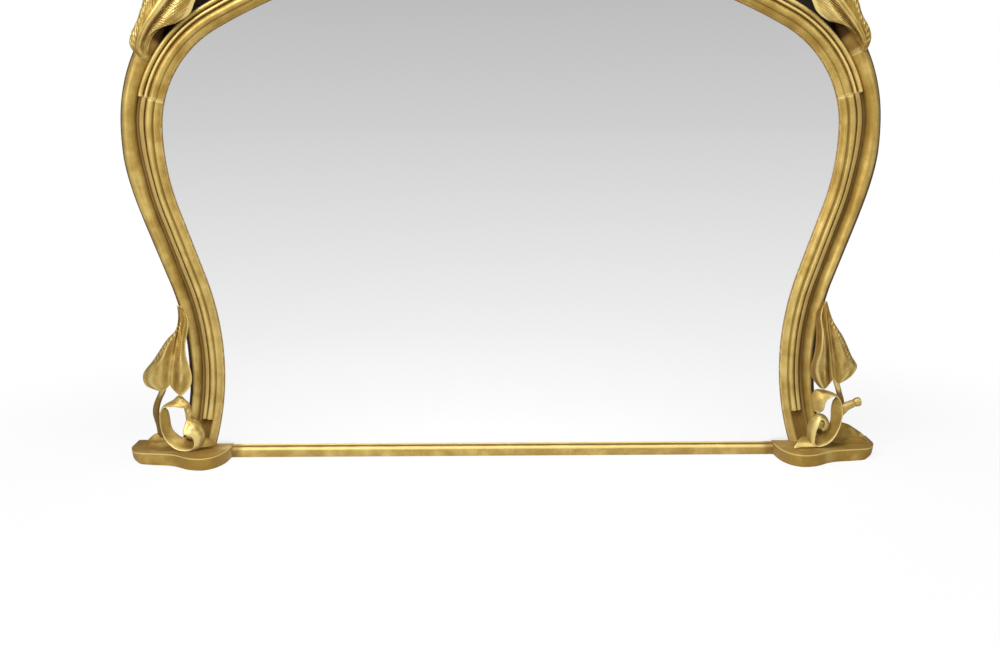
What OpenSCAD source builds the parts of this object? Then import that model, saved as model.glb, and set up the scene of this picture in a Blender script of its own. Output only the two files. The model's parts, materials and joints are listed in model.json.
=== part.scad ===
// Giltwood overmantel mirror: a sinuous carved frame on two shaped plinths,
// with leaves, whiplash stems and curling tendrils, and a shaped mirror plate.
// X runs to the right, Y to the wall, Z up. The origin is under the middle of the base.

/* [Opening] */
// Half width of the opening at its waist
waist_half = 566; // [520:1:600]
// Height of the waist above the shelf
waist_z = 184; // [160:1:220]
// Radius of the sight edge below the waist
foot_r = 563; // [500:1:700]
// Radius of the sight edge above the waist
waist_r = 572; // [500:1:650]
// Lean of the straight stretch from upright, in degrees
lean = 19.4; // [14:0.1:22]
// Length of the straight stretch
straight_len = 139; // [100:1:170]
// Radius of the belly
belly_r = 482; // [440:1:560]
// Radius of the shoulder
shoulder_r = 224; // [200:1:250]
// Turn of the shoulder, in degrees
shoulder_turn = 60.8; // [57:0.1:63]

/* [Mouldings] */
// Space between the wall and the back of the frame
back_gap = 10; // [9:0.5:14]
// Depth of the timber behind the glass face
rebate_d = 24; // [22:0.5:30]
// Width of the rebate that holds the glass
rebate_w = 12; // [10:0.5:13]
// Width of the stile moulding
stile_w = 44; // [42:0.5:48]
// Width of the arch moulding
arch_w = 50; // [48:0.5:54]
// Thickness of the sight lip at its edge
lip_edge = 3.5; // [3:0.1:5]
// Width of the sight lip
lip_w = 14; // [12:0.5:15]
// Height of the moulding's beads in front of the glass face
bead_h = 20; // [18:0.5:22]
// Height of the flat strip in front of the glass face
strip_h = 17.5; // [15:0.5:19]
// Height of the groove's floor in front of the glass face
groove_h = 9; // [7:0.5:11]
// Height above the plinth at which the flat strip stops
strip_stop = 62; // [50:1:100]
// Turn along the shoulder at which stile and arch meet, in degrees
joint_turn = 14; // [12:0.5:18]

/* [Outer stems] */
// Distance from the sight edge to the stem's outer edge at the waist
stem_out_low = 70; // [66:0.5:76]
// Distance from the sight edge to the stem's outer edge at the belly
stem_out_high = 80; // [76:0.5:86]
// Height of the stem's crown in front of the glass face
stem_h = 24; // [21:0.5:28]
// Height of the stem's edges in front of the glass face
stem_edge_h = 9; // [7:0.5:12]
// Turn along the shoulder at which side stem and crest stem meet, in degrees
stem_split = 30; // [28:0.5:33]
// Height of the recess between arch and crest stem
crest_gap = 58; // [45:1:70]
// Extra rise of the crest stems at the middle
crest_rise = 42; // [30:1:50]
// Width of a crest stem at the shoulder
crest_w = 36; // [32:0.5:42]
// Width of a crest stem at the middle
crest_tip_w = 24; // [20:0.5:30]
// Thickness of the panel behind the crest
panel_t = 6; // [4:0.5:8]
// Lap of the crest panel on the timber that carries it
panel_lap = 5; // [4:0.5:5.5]

/* [Base] */
// Thickness of the plinths
plinth_h = 24; // [22:0.5:30]
// Depth of the plinths from the wall
plinth_d = 158; // [145:1:175]
// Distance from the waist's sight edge in to a plinth's inner end
plinth_reach = 12; // [8:0.5:18]
// Length of a plinth
plinth_len = 203; // [195:1:220]
// Depth of a plinth's inner end, where the rail meets it
plinth_root = 58; // [57:0.5:62]
// Depth of the bottom rail from the wall
rail_d = 56; // [54:0.5:57]
// Height of the bottom rail's front
rail_h = 20; // [18:0.5:21]
// Radius of the nosing on the bottom rail
rail_nose = 6.5; // [4:0.5:8]
// Height of the rail where the glass meets it
rail_top = 22.4; // [22:0.1:23.5]
// Height of the rebate floor in rail and plinths
rebate_floor = 12; // [11:0.5:14]

/* [Glass and back] */
// Thickness of the mirror plate
glass_t = 4; // [3:0.5:6]
// Clearance round the edge of the glass
glass_gap = 1; // [0.6:0.1:2]
// Height of the setting blocks under the glass
setting_h = 1.5; // [1:0.1:3]
// Thickness of the back boards
board_t = 8; // [6:0.5:8.5]
// Lap of the back boards on the frame
board_lap = 11; // [9:0.5:12]
// Height of the middle back board
board_h = 200; // [170:5:240]
// Gap between two back boards
board_gap = 1; // [0.5:0.1:2]
// Size of a glazing block across the rebate
block_w = 8; // [6:0.5:9]
// Length of a glazing block
block_len = 30; // [20:1:36]

/* [Hardware] */
// Radius of a dowel
dowel_r = 4; // [3:0.5:5]
// Length of a dowel
dowel_len = 44; // [36:1:50]
// Length of a mending plate
plate_len = 90; // [80:1:100]
// Width of a mending plate and of a strap hanger
plate_w = 15; // [12:0.5:16]
// Thickness of a mending plate and of a strap hanger
plate_t = 1.6; // [1.2:0.1:2]
// Radius of a screw's shank
screw_r = 1.7; // [1.5:0.1:2]
// Radius of a screw's head
screw_head_r = 3.4; // [3:0.1:3.8]
// Thickness of a screw's head
screw_head_t = 1.2; // [1:0.1:1.5]
// Length of a screw
screw_len = 16; // [12:1:20]
// Radius of the wire of a hanging ring
wire_r = 1.4; // [1.2:0.05:1.6]
// Inner half width of a hanging ring
ring_r = 9; // [8:0.5:10]
// Straight length of a hanging ring's legs
ring_leg = 4; // [2:0.5:6]
// Radial clearance of the ring in its strap
ring_play = 0.08; // [0.05:0.01:0.1]
// Distance of the hanger's pivot below the centre of the shoulder
hanger_drop = 35.2; // [29:0.1:65]
// Radius of a wall bumper
bumper_r = 7; // [5:0.5:8]

/* [Ornament] */
// Thickness of a free leaf
leaf_t = 6; // [5:0.5:8]
// Swell of a leaf's halves
leaf_swell = 9; // [6:0.5:12]
// Height of the crown bud above the crest stems
bud_h = 56; // [45:1:70]
// Half width of the crown bud at its widest
bud_r = 21; // [18:0.5:26]

/* [Hidden] */
$fn = 48;

gilt = "#c4a460";
panel_black = "#1d130c";
timber = "#9a7750";
glass_grey = "#c9cbcd";
steel = "#8d8f92";
felt = "#4b4038";

arc_fn = 240;                       // steps of a full turn on the long arcs
fit = 0.3;                          // gap between curved pieces that are glued together
hole_play = 0.05;                   // radial clearance of dowels, nails and screws in their holes
over = 1;                           // how far a cutting shape runs past what it cuts
far = 2000;                         // reach of a trimming block, past every piece
wall_y = plinth_d / 2;              // the wall plane
glass_front = back_gap + rebate_d;  // depth of the glass face from the wall
glass_back = glass_front - glass_t;
bead_top = glass_front + bead_h;
strip_top = glass_front + strip_h;
groove_floor = glass_front + groove_h;
stem_top = glass_front + stem_h;
stem_edge = glass_front + stem_edge_h;
board_u = rebate_w + board_lap;     // edge of the back boards, outward from the sight edge
fix_u = board_u + 1.5 + plate_w / 2;  // line of the metal fixings on the frame's back

// ---- sight edge of the right half: arcs that run into each other ----
foot_c = [waist_half + foot_r, waist_z];
waist_c = [waist_half + waist_r, waist_z];
waist_mid = [waist_half, waist_z];
lean_start = waist_c + waist_r * [-cos(lean), sin(lean)];
lean_end = lean_start + straight_len * [sin(lean), cos(lean)];
belly_c = lean_end - belly_r * [cos(lean), -sin(lean)];
belly_x = belly_c.x + belly_r;
shoulder_c = [belly_x - shoulder_r, belly_c.y];
hanger_z = shoulder_c.y - hanger_drop;
plinth_in = waist_half - plinth_reach;
crown_start = shoulder_c + shoulder_r * [cos(shoulder_turn), sin(shoulder_turn)];
crown_r = crown_start.x / cos(shoulder_turn);
crown_c = [0, crown_start.y - crown_r * sin(shoulder_turn)];
crown_z = crown_c.y + crown_r;

function mix(a, b, t) = a + (b - a) * t;
function ease(t) = let (s = min(max(t, 0), 1)) s * s * (3 - 2 * s);
function unit(v) = v / norm(v);
function polar(c, r, a) = c + r * [cos(a), sin(a)];
function steps(a, b, n) = [for (i = [0:n]) mix(a, b, i / n)];

// a point u outward from the sight edge, where the edge's outward normal points at angle a
function upper_point(a, u) =
    a < 0 ? polar(belly_c, belly_r + u, a)
    : a < shoulder_turn ? polar(shoulder_c, shoulder_r + u, a)
    : polar(crown_c, crown_r + u, a);
function waist_point(t, u) = waist_c + (waist_r - u) * [-cos(t), sin(t)];
function foot_point(t, u) = foot_c - (foot_r - u) * [cos(t), sin(t)];
// turn of the foot arc at which a line u outward from the sight edge meets height z
function foot_turn(u, z) = asin((waist_z - z) / (foot_r - u));
function foot_x(u, z) = foot_point(foot_turn(u, z), u).x;

// right half of an outline that runs u outside the sight edge, from height z to the middle
function half_outline(u, z) = concat(
    [for (k = steps(1, 1 / 6, 5)) foot_point(foot_turn(u, z) * k, u)],
    [for (t = steps(0, lean, 6)) waist_point(t, u)],
    [for (a = steps(-lean, 0, 6)) upper_point(a, u)],
    [for (a = steps(3.8, shoulder_turn, 15)) upper_point(a, u)],
    [for (a = steps(shoulder_turn + 2.5, 90, 12)) upper_point(a, u)]);
function whole_outline(u, z) =
    let (half = half_outline(u, z), last = len(half) - 1)
    concat(half, [for (i = [last - 1:-1:0]) [-half[i].x, half[i].y]]);

// ---- the outer stem: its inner and outer edges as distances from the sight edge ----
recess_start = stem_split + 4;      // turn at which the crest stem leaves the arch
recess_full = shoulder_turn + 5;    // turn at which the recess has its full height
lift_start = 76;                    // turn at which the crest stem starts to lift to the crown
function stem_rise(a) = crest_gap * ease((a - recess_start) / (recess_full - recess_start))
    + crest_rise * ease((a - lift_start) / (90 - lift_start));
function stem_in(a) = (a < joint_turn ? stile_w : arch_w) + fit + stem_rise(a);
function crest_width(a) = mix(crest_w, crest_tip_w, ease((a - stem_split) / (90 - stem_split)));
function stem_out(a) =
    a < 0 ? mix(stem_out_low + 3, stem_out_high, ease((a + lean) / (lean - 4)))
    : a < stem_split ? mix(stem_out_high, arch_w + fit + crest_w + 2, pow(a / stem_split, 1.5))
    : stem_in(a) + crest_width(a) + 2 * ease((lift_start - a) / 20);

// the stem's crowned section between the distances a and b, from the back round the front
section_steps = 7;
function crown_of(f) = f > 0 && f < 1 ? pow(sin(180 * pow(f, 1.15)), 0.6) : 0;
function stem_section(a, b) = concat(
    [[a, back_gap]],
    [for (f = steps(0, 1, section_steps)) [mix(a, b, f), mix(stem_edge, stem_top, crown_of(f))]],
    [[b, back_gap]]);

// ---- general forms, drawn facing the viewer: x right, y up, z forward of the wall ----
module facing() {
    translate([0, wall_y, 0]) rotate([90, 0, 0]) children();
}

// a closed solid through rings with the same number of points each, which run clockwise
// for an eye that looks from the first ring to the last
function loft_sides(n, last) = [for (i = [0:last - 1], j = [0:n - 1])
    let (a = i * n + j, b = i * n + (j + 1) % n)
    each [[a, b + n, b], [a, a + n, b + n]]];
module loft(rings) {
    n = len(rings[0]);
    last = len(rings) - 1;
    polyhedron([for (r = rings) each r],
        concat(loft_sides(n, last), [[for (j = [0:n - 1]) j], [for (j = [n - 1:-1:0]) last * n + j]]));
}

function bend(p, q, r, s, t) = 0.5 * (2 * q + (r - p) * t
    + (2 * p - 5 * q + 4 * r - s) * t * t + (3 * q - p - 3 * r + s) * t * t * t);
// a smooth curve through the points p, for t from 0 to 1
function curve(p, t) =
    let (n = len(p) - 1, x = min(t * n, n - 0.0001), i = floor(x))
    bend(p[max(i - 1, 0)], p[i], p[i + 1], p[min(i + 2, n)], x - i);
function spot(p) = [p[0], p[1], p[2]];

// a ribbon or stalk along points [x, y, z, half width, half thickness, roll]
module ribbon(route, rings, sides) {
    loft([for (i = [0:rings])
        let (t = i / rings,
             p = curve(route, t),
             along = unit(spot(curve(route, min(t + 0.01, 1))) - spot(curve(route, max(t - 0.01, 0)))),
             depth = unit([0, 0, 1] - along.z * along),
             side = cross(depth, along))
        [for (k = [0:sides - 1])
            let (f = -360 * k / sides)
            spot(p)
                + p[3] * cos(f) * (cos(p[5]) * depth + sin(p[5]) * side)
                + p[4] * sin(f) * (cos(p[5]) * side - sin(p[5]) * depth)]]);
}

// a leaf with a folded blade: rings run from one edge over the midrib to the other, from the tip
// to the notch between the lobes; edge_a is on the right where the tip is up; bow rounds the
// lobes; seat is the depth of a flat back, or 0 where the leaf is a free sheet
leaf_rings = 14;
leaf_across = 4;                    // steps across each half of a leaf
module leaf(rib, edge_a, edge_b, bow, swell, seat = 0) {
    shares = steps(-1, 1, 2 * leaf_across);
    n = 2 * len(shares);
    points = [for (i = [0:leaf_rings])
        let (t = i / leaf_rings,
             full = swell * pow(sin(180 * mix(0.03, 0.97, t)), 0.7),
             front = [for (f = shares)
                 mix(curve(rib, t), curve(f < 0 ? edge_a : edge_b, t), abs(f))
                     + sin(180 * abs(f)) * [bow.x * pow(t, 4), bow.y * pow(t, 4), full]])
        each concat(front, [for (k = [len(front) - 1:-1:0])
            [front[k].x, front[k].y, seat > 0 ? seat : front[k].z - leaf_t]])];
    caps = [for (j = [0:len(shares) - 2])
        each [[j, j + 1, n - 2 - j, n - 1 - j],
              [for (k = [n - 1 - j, n - 2 - j, j + 1, j]) leaf_rings * n + k]]];
    polyhedron(points, concat(loft_sides(n, leaf_rings), caps));
}

// ---- mouldings: sections as [distance outward from the sight edge, depth from the wall] ----
function bead(c, r, a, b, n) = [for (t = steps(a, b, n)) c + r * [cos(t), sin(t)]];

lip_rise = 6.5;                     // rise of the sight lip from its edge to its top
lip_section = concat(
    [[rebate_w, back_gap], [rebate_w, glass_front], [0, glass_front]],
    [for (t = steps(0, 1, 5)) [lip_w * t, glass_front + lip_edge + lip_rise * sin(90 * t)]]);
stile_section = concat(
    lip_section,
    [[lip_w + 3, groove_floor - 1]],
    bead([lip_w + 9.5, bead_top - 4], 4, 170, 0, 6),
    [[lip_w + 14, groove_floor + 3], [lip_w + 15, strip_top - 0.5], [lip_w + 16, strip_top],
     [lip_w + 21, strip_top], [lip_w + 22.5, strip_top - 1.5],
     [lip_w + 25, groove_floor], [stile_w, groove_floor - 0.5], [stile_w, back_gap]]);
arch_section = concat(
    lip_section,
    bead([lip_w + 8, bead_top - 6.5], 7, 150, 25, 7),
    [[lip_w + 16.5, groove_floor + 3], [lip_w + 18.5, strip_top - 2], [lip_w + 20, strip_top],
     [lip_w + 23, strip_top - 0.5], [lip_w + 25.5, groove_floor + 4]],
    bead([arch_w - 4.5, bead_top - 4.5], 4.5, 165, 10, 6),
    [[arch_w, bead_top - 7], [arch_w, back_gap]]);

// A moulding is drawn run by run. Every second run is a hair thinner all round and reaches a
// little way into its neighbours, which are trimmed at the planes where the runs meet.
spare_turn = 0.5;
run_step = 0.08;                    // how much thinner such a run is
function turned(p, q) = let (d = unit(q - p)) [d.y, -d.x];
function thinner(section) = let (n = len(section))
    [for (i = [0:n - 1])
        let (a = turned(section[(i + n - 1) % n], section[i]), b = turned(section[i], section[(i + 1) % n]))
        section[i] + run_step * (a + b) / (1 + a * b)];
// keeps what lies past the plane through p that leans by angle a, or, with before, what lies short of it
module trim(p, a, before = false) {
    intersection() {
        children();
        translate([p.x, p.y, -over]) rotate([0, 0, -a]) translate([-far, before ? -2 * far : 0, 0])
            cube([2 * far, 2 * far, far]);
    }
}
// an arc whose centre lies inside (side = 1) or outside (side = -1) the curve
module arc_run(c, r, side, from, turn, section) {
    translate([c.x, c.y, 0]) rotate([0, 0, from - spare_turn])
        rotate_extrude(angle = turn + 2 * spare_turn, $fn = arc_fn)
            polygon([for (p = section) [r + side * p.x, p.y]]);
}
module straight_run(section) {
    translate([lean_start.x, lean_start.y, 0]) rotate([0, 0, -lean]) rotate([-90, 0, 0])
        translate([0, 0, -over]) linear_extrude(straight_len + 2 * over)
            polygon([for (p = section) [p.x, -p.y]]);
}

// places children on the shoulder or crown, u outside the sight edge, their z along the moulding
module on_arc(c, r, a, u, depth) {
    translate([c.x, c.y, 0]) rotate([0, 0, a]) translate([r + u, 0, depth]) rotate([90, 0, 0]) children();
}

dowel_spots = [[rebate_w + 9, back_gap + 11], [rebate_w + 23, back_gap + 21]];  // [u, depth]
module shoulder_dowels(r, len) {
    for (s = dowel_spots)
        on_arc(shoulder_c, shoulder_r, joint_turn, s[0], s[1]) cylinder(r = r, h = len, center = true);
}
module crown_dowels(r, len) {
    for (s = dowel_spots)
        on_arc(crown_c, crown_r, 90, s[0], s[1]) cylinder(r = r, h = len, center = true);
}

// screws and nails that run from the back of the frame into it: spots are [x, y] in the facing view
plate_spots = [-0.42, -0.2, 0.2, 0.42] * plate_len;
function shoulder_spot(d) =
    polar(shoulder_c, shoulder_r + fix_u, joint_turn) + d * [-sin(joint_turn), cos(joint_turn)];
crown_spot = [0, crown_z + fix_u];
strap_len = 40;
strap_u = stile_w - 0.5 - plate_w / 2;
strap_turn = asin((hanger_z + strap_len / 2 - belly_c.y) / (belly_r + strap_u));
strap_x = upper_point(strap_turn, strap_u).x;
strap_spots = [[strap_x, hanger_z + 14], [strap_x, hanger_z + 32]];
module back_holes(spots, r, depth) {
    for (s = spots) translate([s.x, s.y, back_gap - over]) cylinder(r = r + hole_play, h = depth + over);
}
module back_screw(s) {
    translate([s.x, s.y, back_gap - plate_t - screw_head_t]) {
        cylinder(r = screw_head_r, h = screw_head_t);
        translate([0, 0, screw_head_t / 2]) cylinder(r = screw_r, h = screw_len + screw_head_t / 2);
    }
}
module plate_holes(spots) {
    for (s = spots)
        translate([s.x, s.y, back_gap - plate_t - over]) cylinder(r = screw_r + 2 * hole_play, h = plate_t + 2 * over);
}

nail_u = rebate_w + board_lap / 2;
stile_nails = concat(
    [for (t = [10, 3]) foot_point(t, nail_u)],
    [for (t = [8, 16]) waist_point(t, nail_u)],
    [for (a = [-16, -9, -3, 6]) upper_point(a, nail_u)]);
arch_nails = [for (a = [22, 45, 66, 74, 82]) upper_point(a, nail_u)];
rail_nails = [[150, rebate_floor - 4.5], [430, rebate_floor - 4.5]];
module nail(s) {
    translate([s.x, s.y, back_gap - board_t - nail_head_t]) {
        cylinder(r = nail_head_r, h = nail_head_t);
        translate([0, 0, nail_head_t / 2]) cylinder(r = nail_r, h = board_t + nail_grip + nail_head_t / 2);
    }
}
nail_r = 1;
nail_head_r = 2.2;
nail_head_t = 0.8;
nail_grip = 14;                     // length of a nail inside the frame

// ---- the frame ----
foot_spots = [[stile_w * 0.36, back_gap + 10], [stile_w * 0.6, back_gap + 24]];  // [u, depth]
foot_screw_top = 58;
foot_screw_r = 2.2;
foot_head_r = 4.4;
foot_head_t = 3;
module foot_screw_shapes(play, sunk) {
    for (s = foot_spots)
        translate([foot_x(s[0], plinth_h), wall_y - s[1], -sunk]) {
            cylinder(r = foot_screw_r + play, h = foot_screw_top + play + sunk);
            cylinder(r = foot_head_r + play, h = foot_head_t + play + sunk);
        }
}

stop_w = [lip_w + 14.6, stile_w - 4];   // the flat strip and its edges, outward from the sight edge
module stile_body() {
    trim(waist_mid, 0, true) arc_run(foot_c, foot_r, -1, 180, foot_turn(0, plinth_h) + 6, stile_section);
    arc_run(waist_c, waist_r, -1, 180 - lean, lean, thinner(stile_section));
    trim(lean_start, lean) trim(lean_end, lean, true) straight_run(stile_section);
    arc_run(belly_c, belly_r, 1, -lean, lean, thinner(stile_section));
    trim(belly_c, 0) trim(shoulder_c, -joint_turn, true)
        arc_run(shoulder_c, shoulder_r, 1, 0, joint_turn, stile_section);
}
module stile() {
    difference() {
        facing() difference() {
            stile_body();
            translate([0, plinth_h - far, -over]) cube([far, far, far]);
            translate([foot_c.x, foot_c.y, 0])
                rotate([0, 0, 180 + foot_turn(stop_w[0], plinth_h + strip_stop)])
                rotate_extrude(angle = 20, $fn = arc_fn)
                    translate([foot_r - stop_w[1], groove_floor + 1]) square([stop_w[1] - stop_w[0], bead_top]);
            shoulder_dowels(dowel_r + hole_play, dowel_len + over);
            back_holes([for (d = plate_spots) if (d < 0) shoulder_spot(d)], screw_r, screw_len);
            back_holes(strap_spots, screw_r, screw_len);
            back_holes(stile_nails, nail_r, nail_grip);
        }
        foot_screw_shapes(hole_play, 0);
    }
}
module left_stile() { color(gilt) mirror([1, 0, 0]) stile(); }
module right_stile() { color(gilt) stile(); }

module arch() {
    facing() difference() {
        union() {
            trim(shoulder_c, -joint_turn) trim(shoulder_c, -shoulder_turn, true)
                arc_run(shoulder_c, shoulder_r, 1, joint_turn, shoulder_turn - joint_turn, arch_section);
            trim(crown_c, -90, true)
                arc_run(crown_c, crown_r, 1, shoulder_turn, 90 - shoulder_turn, thinner(arch_section));
        }
        shoulder_dowels(dowel_r + hole_play, dowel_len + over);
        crown_dowels(dowel_r + hole_play, dowel_len + over);
        back_holes([for (d = plate_spots) if (d > 0) shoulder_spot(d)], screw_r, screw_len);
        back_holes([for (d = plate_spots) if (d > 0) crown_spot + [d, 0]], screw_r, screw_len);
        back_holes(arch_nails, nail_r, nail_grip);
    }
}
module left_arch() { color(gilt) mirror([1, 0, 0]) arch(); }
module right_arch() { color(gilt) arch(); }

function stem_ring(section, at) = [for (p = section) let (q = at(p.x)) [q.x, q.y, p.y]];
module side_stem() {
    low = stem_section(stile_w + fit, stem_out_low);
    facing() loft(concat(
        [for (k = steps(1, 1 / 7, 6))
            stem_ring(low, function (u) foot_point(foot_turn(u, plinth_h) * k, u))],
        [for (t = steps(0, lean, 8)) stem_ring(low, function (u) waist_point(t, u))],
        [for (a = steps(-lean, joint_turn - 1, 14))
            stem_ring(stem_section(stile_w + fit, stem_out(a)), function (u) upper_point(a, u))],
        [for (a = steps(joint_turn, stem_split, 7))
            stem_ring(stem_section(stem_in(a), stem_out(a)), function (u) upper_point(a, u))]));
}
module left_side_stem() { color(gilt) mirror([1, 0, 0]) side_stem(); }
module right_side_stem() { color(gilt) side_stem(); }

bud_neck = 11;                      // half width of the bud between the crest stems
crest_end = 90 - asin((bud_neck + fit) / (crown_r + stem_in(90)));  // turn at which a crest stem ends
module crest_stem() {
    turns = concat(steps(stem_split + 0.05, shoulder_turn, 11), steps(shoulder_turn + 2, crest_end, 15));
    facing() loft([for (a = turns)
        stem_ring(stem_section(stem_in(a), stem_out(a)), function (u) upper_point(a, u))]);
}
module left_crest_stem() { color(gilt) mirror([1, 0, 0]) crest_stem(); }
module right_crest_stem() { color(gilt) crest_stem(); }

panel_start = recess_start + 6;     // turn at which the crest panel starts
module crest_panel() {
    turns = concat(steps(panel_start, shoulder_turn, 9), steps(shoulder_turn + 2, 90, 14));
    facing() translate([0, 0, back_gap - panel_t]) linear_extrude(panel_t)
        polygon(concat(
            [for (a = turns) upper_point(a, arch_w - panel_lap)],
            [for (i = [len(turns) - 1:-1:0]) upper_point(turns[i], stem_in(turns[i]) + 2 * panel_lap)]));
}
module left_crest_panel() { color(panel_black) mirror([1, 0, 0]) crest_panel(); }
module right_crest_panel() { color(panel_black) crest_panel(); }

// ---- the base ----
rail_dowel_y = wall_y - (glass_front + rail_d) / 2;
module rail_dowel_shapes(r, len) {
    for (s = [-1, 1])
        translate([s * plinth_in, rail_dowel_y, rail_h / 2]) rotate([0, 90, 0])
            cylinder(r = r, h = len, center = true);
}

nose_c = [rail_d - rail_nose, rail_h - rail_nose];
rail_section = concat(
    [[back_gap, 0], [rail_d, 0]],
    bead(nose_c, rail_nose, 0, 90, 5),
    [[nose_c.x - 2, rail_h], [nose_c.x - 2, rail_h + 1.8], [nose_c.x - 4, rail_h + 3],
     [nose_c.x - 8, rail_h + 3], [glass_front, rail_top], [glass_front, rebate_floor],
     [back_gap, rebate_floor]]);
module bottom_rail() {
    color(gilt) difference() {
        translate([-plinth_in, 0, 0]) rotate([90, 0, 90]) linear_extrude(2 * plinth_in)
            polygon([for (p = rail_section) [wall_y - p.x, p.y]]);
        rail_dowel_shapes(dowel_r + hole_play, dowel_len + over);
        facing() for (s = [-1, 1]) back_holes([for (p = rail_nails) [s * p.x, p.y]], nail_r, nail_grip);
    }
}

// front of a plinth from its inner end: [share of the length, share of the depth past the root]
plinth_front = [[0, 0], [0.02, 0.42], [0.055, 0.67], [0.105, 0.87], [0.18, 0.99], [0.245, 1],
    [0.35, 0.92], [0.46, 0.73], [0.57, 0.61], [0.77, 0.54], [0.91, 0.46], [0.985, 0.16]];
function plinth_point(p) = [plinth_in + plinth_len * p.x, wall_y - mix(plinth_root, plinth_d, min(p.y, 1))];
module plinth() {
    difference() {
        linear_extrude(plinth_h)
            polygon(concat(
                [[plinth_in, wall_y]],
                [for (t = steps(0, 1, 44)) plinth_point(curve(plinth_front, t))],
                [plinth_point([1, 0]), [plinth_in + plinth_len, wall_y]]));
        translate([plinth_in - over, wall_y - glass_front, rebate_floor])
            cube([foot_x(rebate_w, rebate_floor) - plinth_in + over, rebate_d, plinth_h]);
        rail_dowel_shapes(dowel_r + hole_play, dowel_len + over);
        foot_screw_shapes(hole_play, over);
    }
}
module left_plinth() { color(gilt) mirror([1, 0, 0]) plinth(); }
module right_plinth() { color(gilt) plinth(); }

// ---- shoulder leaves, which hang tip down over the stems ----
// points are [outward from the belly's sight edge, up from the belly's centre, forward of the stem]
leaf_seat = stem_top + fit;
function on_shoulder(points) = [for (q = points) [belly_x + q[0], belly_c.y + q[1], leaf_seat + q[2]]];
left_hang_rib = [[25, 140, 4], [31, 158, 11], [20, 190, 15], [-8, 228, 17], [-36, 262, 15], [-62, 290, 9]];
left_hang_outer = [[32, 140, 4], [48, 160, 7], [47, 182, 9], [32, 212, 9], [19, 248, 9], [9, 280, 9],
    [-5, 308, 8], [-26, 328, 6], [-46, 332, 5]];
left_hang_inner = [[18, 141, 4], [8, 173, 6], [-12, 196, 8], [-44, 206, 9], [-70, 222, 9], [-84, 250, 9],
    [-106, 274, 8], [-130, 292, 6], [-134, 308, 5]];
right_hang_rib = [[38, 147, 4], [35, 164, 11], [20, 192, 15], [-8, 228, 17], [-36, 262, 15], [-62, 290, 9]];
right_hang_outer = [[43, 146, 4], [50, 165, 7], [46, 188, 9], [31, 214, 9], [20, 248, 9], [9, 280, 9],
    [-5, 308, 8], [-26, 328, 6], [-46, 332, 5]];
right_hang_inner = [[33, 147, 4], [16, 176, 6], [-8, 196, 8], [-36, 203, 9], [-58, 220, 9], [-72, 248, 9],
    [-96, 272, 8], [-122, 290, 6], [-130, 306, 5]];
module shoulder_leaf(rib, inner, outer) {
    facing() leaf(on_shoulder(rib), on_shoulder(inner), on_shoulder(outer), [-8, 10], leaf_swell * 0.6, leaf_seat);
}
module left_shoulder_leaf() {
    color(gilt) mirror([1, 0, 0]) shoulder_leaf(left_hang_rib, left_hang_inner, left_hang_outer);
}
module right_shoulder_leaf() { color(gilt) shoulder_leaf(right_hang_rib, right_hang_inner, right_hang_outer); }

// ---- foot leaves on their stalks ----
// points are [outward from the stem's outer edge at the waist, up from the plinth, depth from the frame's back]
foot_leaf_x = waist_half + stem_out_low;
left_mound_h = 24;
right_mound_h = 30;
function at_foot(points) = [for (q = points)
    [foot_leaf_x + q[0], plinth_h + q[1], back_gap + q[2], if (len(q) > 3) each [q[3], q[4], q[5]]]];
left_rib = [[10, 291, 55], [12, 253, 58], [20, 214, 66], [26, 175, 74], [31, 134, 78]];
left_outer = [[13, 290, 55], [18, 262, 56], [42, 224, 59], [64, 183, 65], [86, 156, 68], [82, 132, 71],
    [56, 121, 74]];
left_inner = [[8, 290, 55], [-5, 256, 57], [0, 222, 61], [-1, 196, 65], [-9, 158, 69], [-7, 132, 73],
    [11, 111, 76]];
left_stalk = [[36, 152, 68, 5, 4, 0], [49, 119, 64, 5, 4, 0], [63, 92, 60, 5, 4, 0], [72, 69, 52, 5, 4, 0],
    [68, 50, 42, 5, 5, 0], [66, left_mound_h + 12, 37, 6, 6, 0], [66, left_mound_h + fit, 37, 6, 6, 0]];
module left_foot_leaf() {
    color(gilt) mirror([1, 0, 0]) facing() {
        leaf(at_foot(left_rib), at_foot(left_outer), at_foot(left_inner), [0, -5], leaf_swell);
        ribbon(at_foot(left_stalk), 12, 8);
    }
}

right_rib = [[15, 293, 55], [18, 255, 60], [22, 216, 67], [26, 176, 73], [30, 140, 76]];
right_outer = [[17, 292, 55], [25, 254, 56], [45, 220, 61], [63, 184, 66], [77, 162, 70], [66, 142, 73],
    [44, 128, 74]];
right_inner = [[13, 291, 55], [1, 262, 62], [0, 230, 72], [-3, 199, 84], [-11, 164, 90], [-7, 140, 88],
    [8, 119, 86]];
right_stalk = [[29, 154, 67, 5, 4, 0], [36, 119, 65, 5, 4, 0], [42, 97, 63, 5, 4, 0], [51, 76, 57, 5, 4, 0],
    [57, 56, 46, 5, 5, 0], [61, right_mound_h + 12, 38, 6, 6, 0], [61, right_mound_h + fit, 38, 6, 6, 0]];
module right_foot_leaf() {
    color(gilt) facing() {
        leaf(at_foot(right_rib), at_foot(right_outer), at_foot(right_inner), [0, -5], leaf_swell * 0.7);
        ribbon(at_foot(right_stalk), 12, 8);
    }
}

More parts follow.
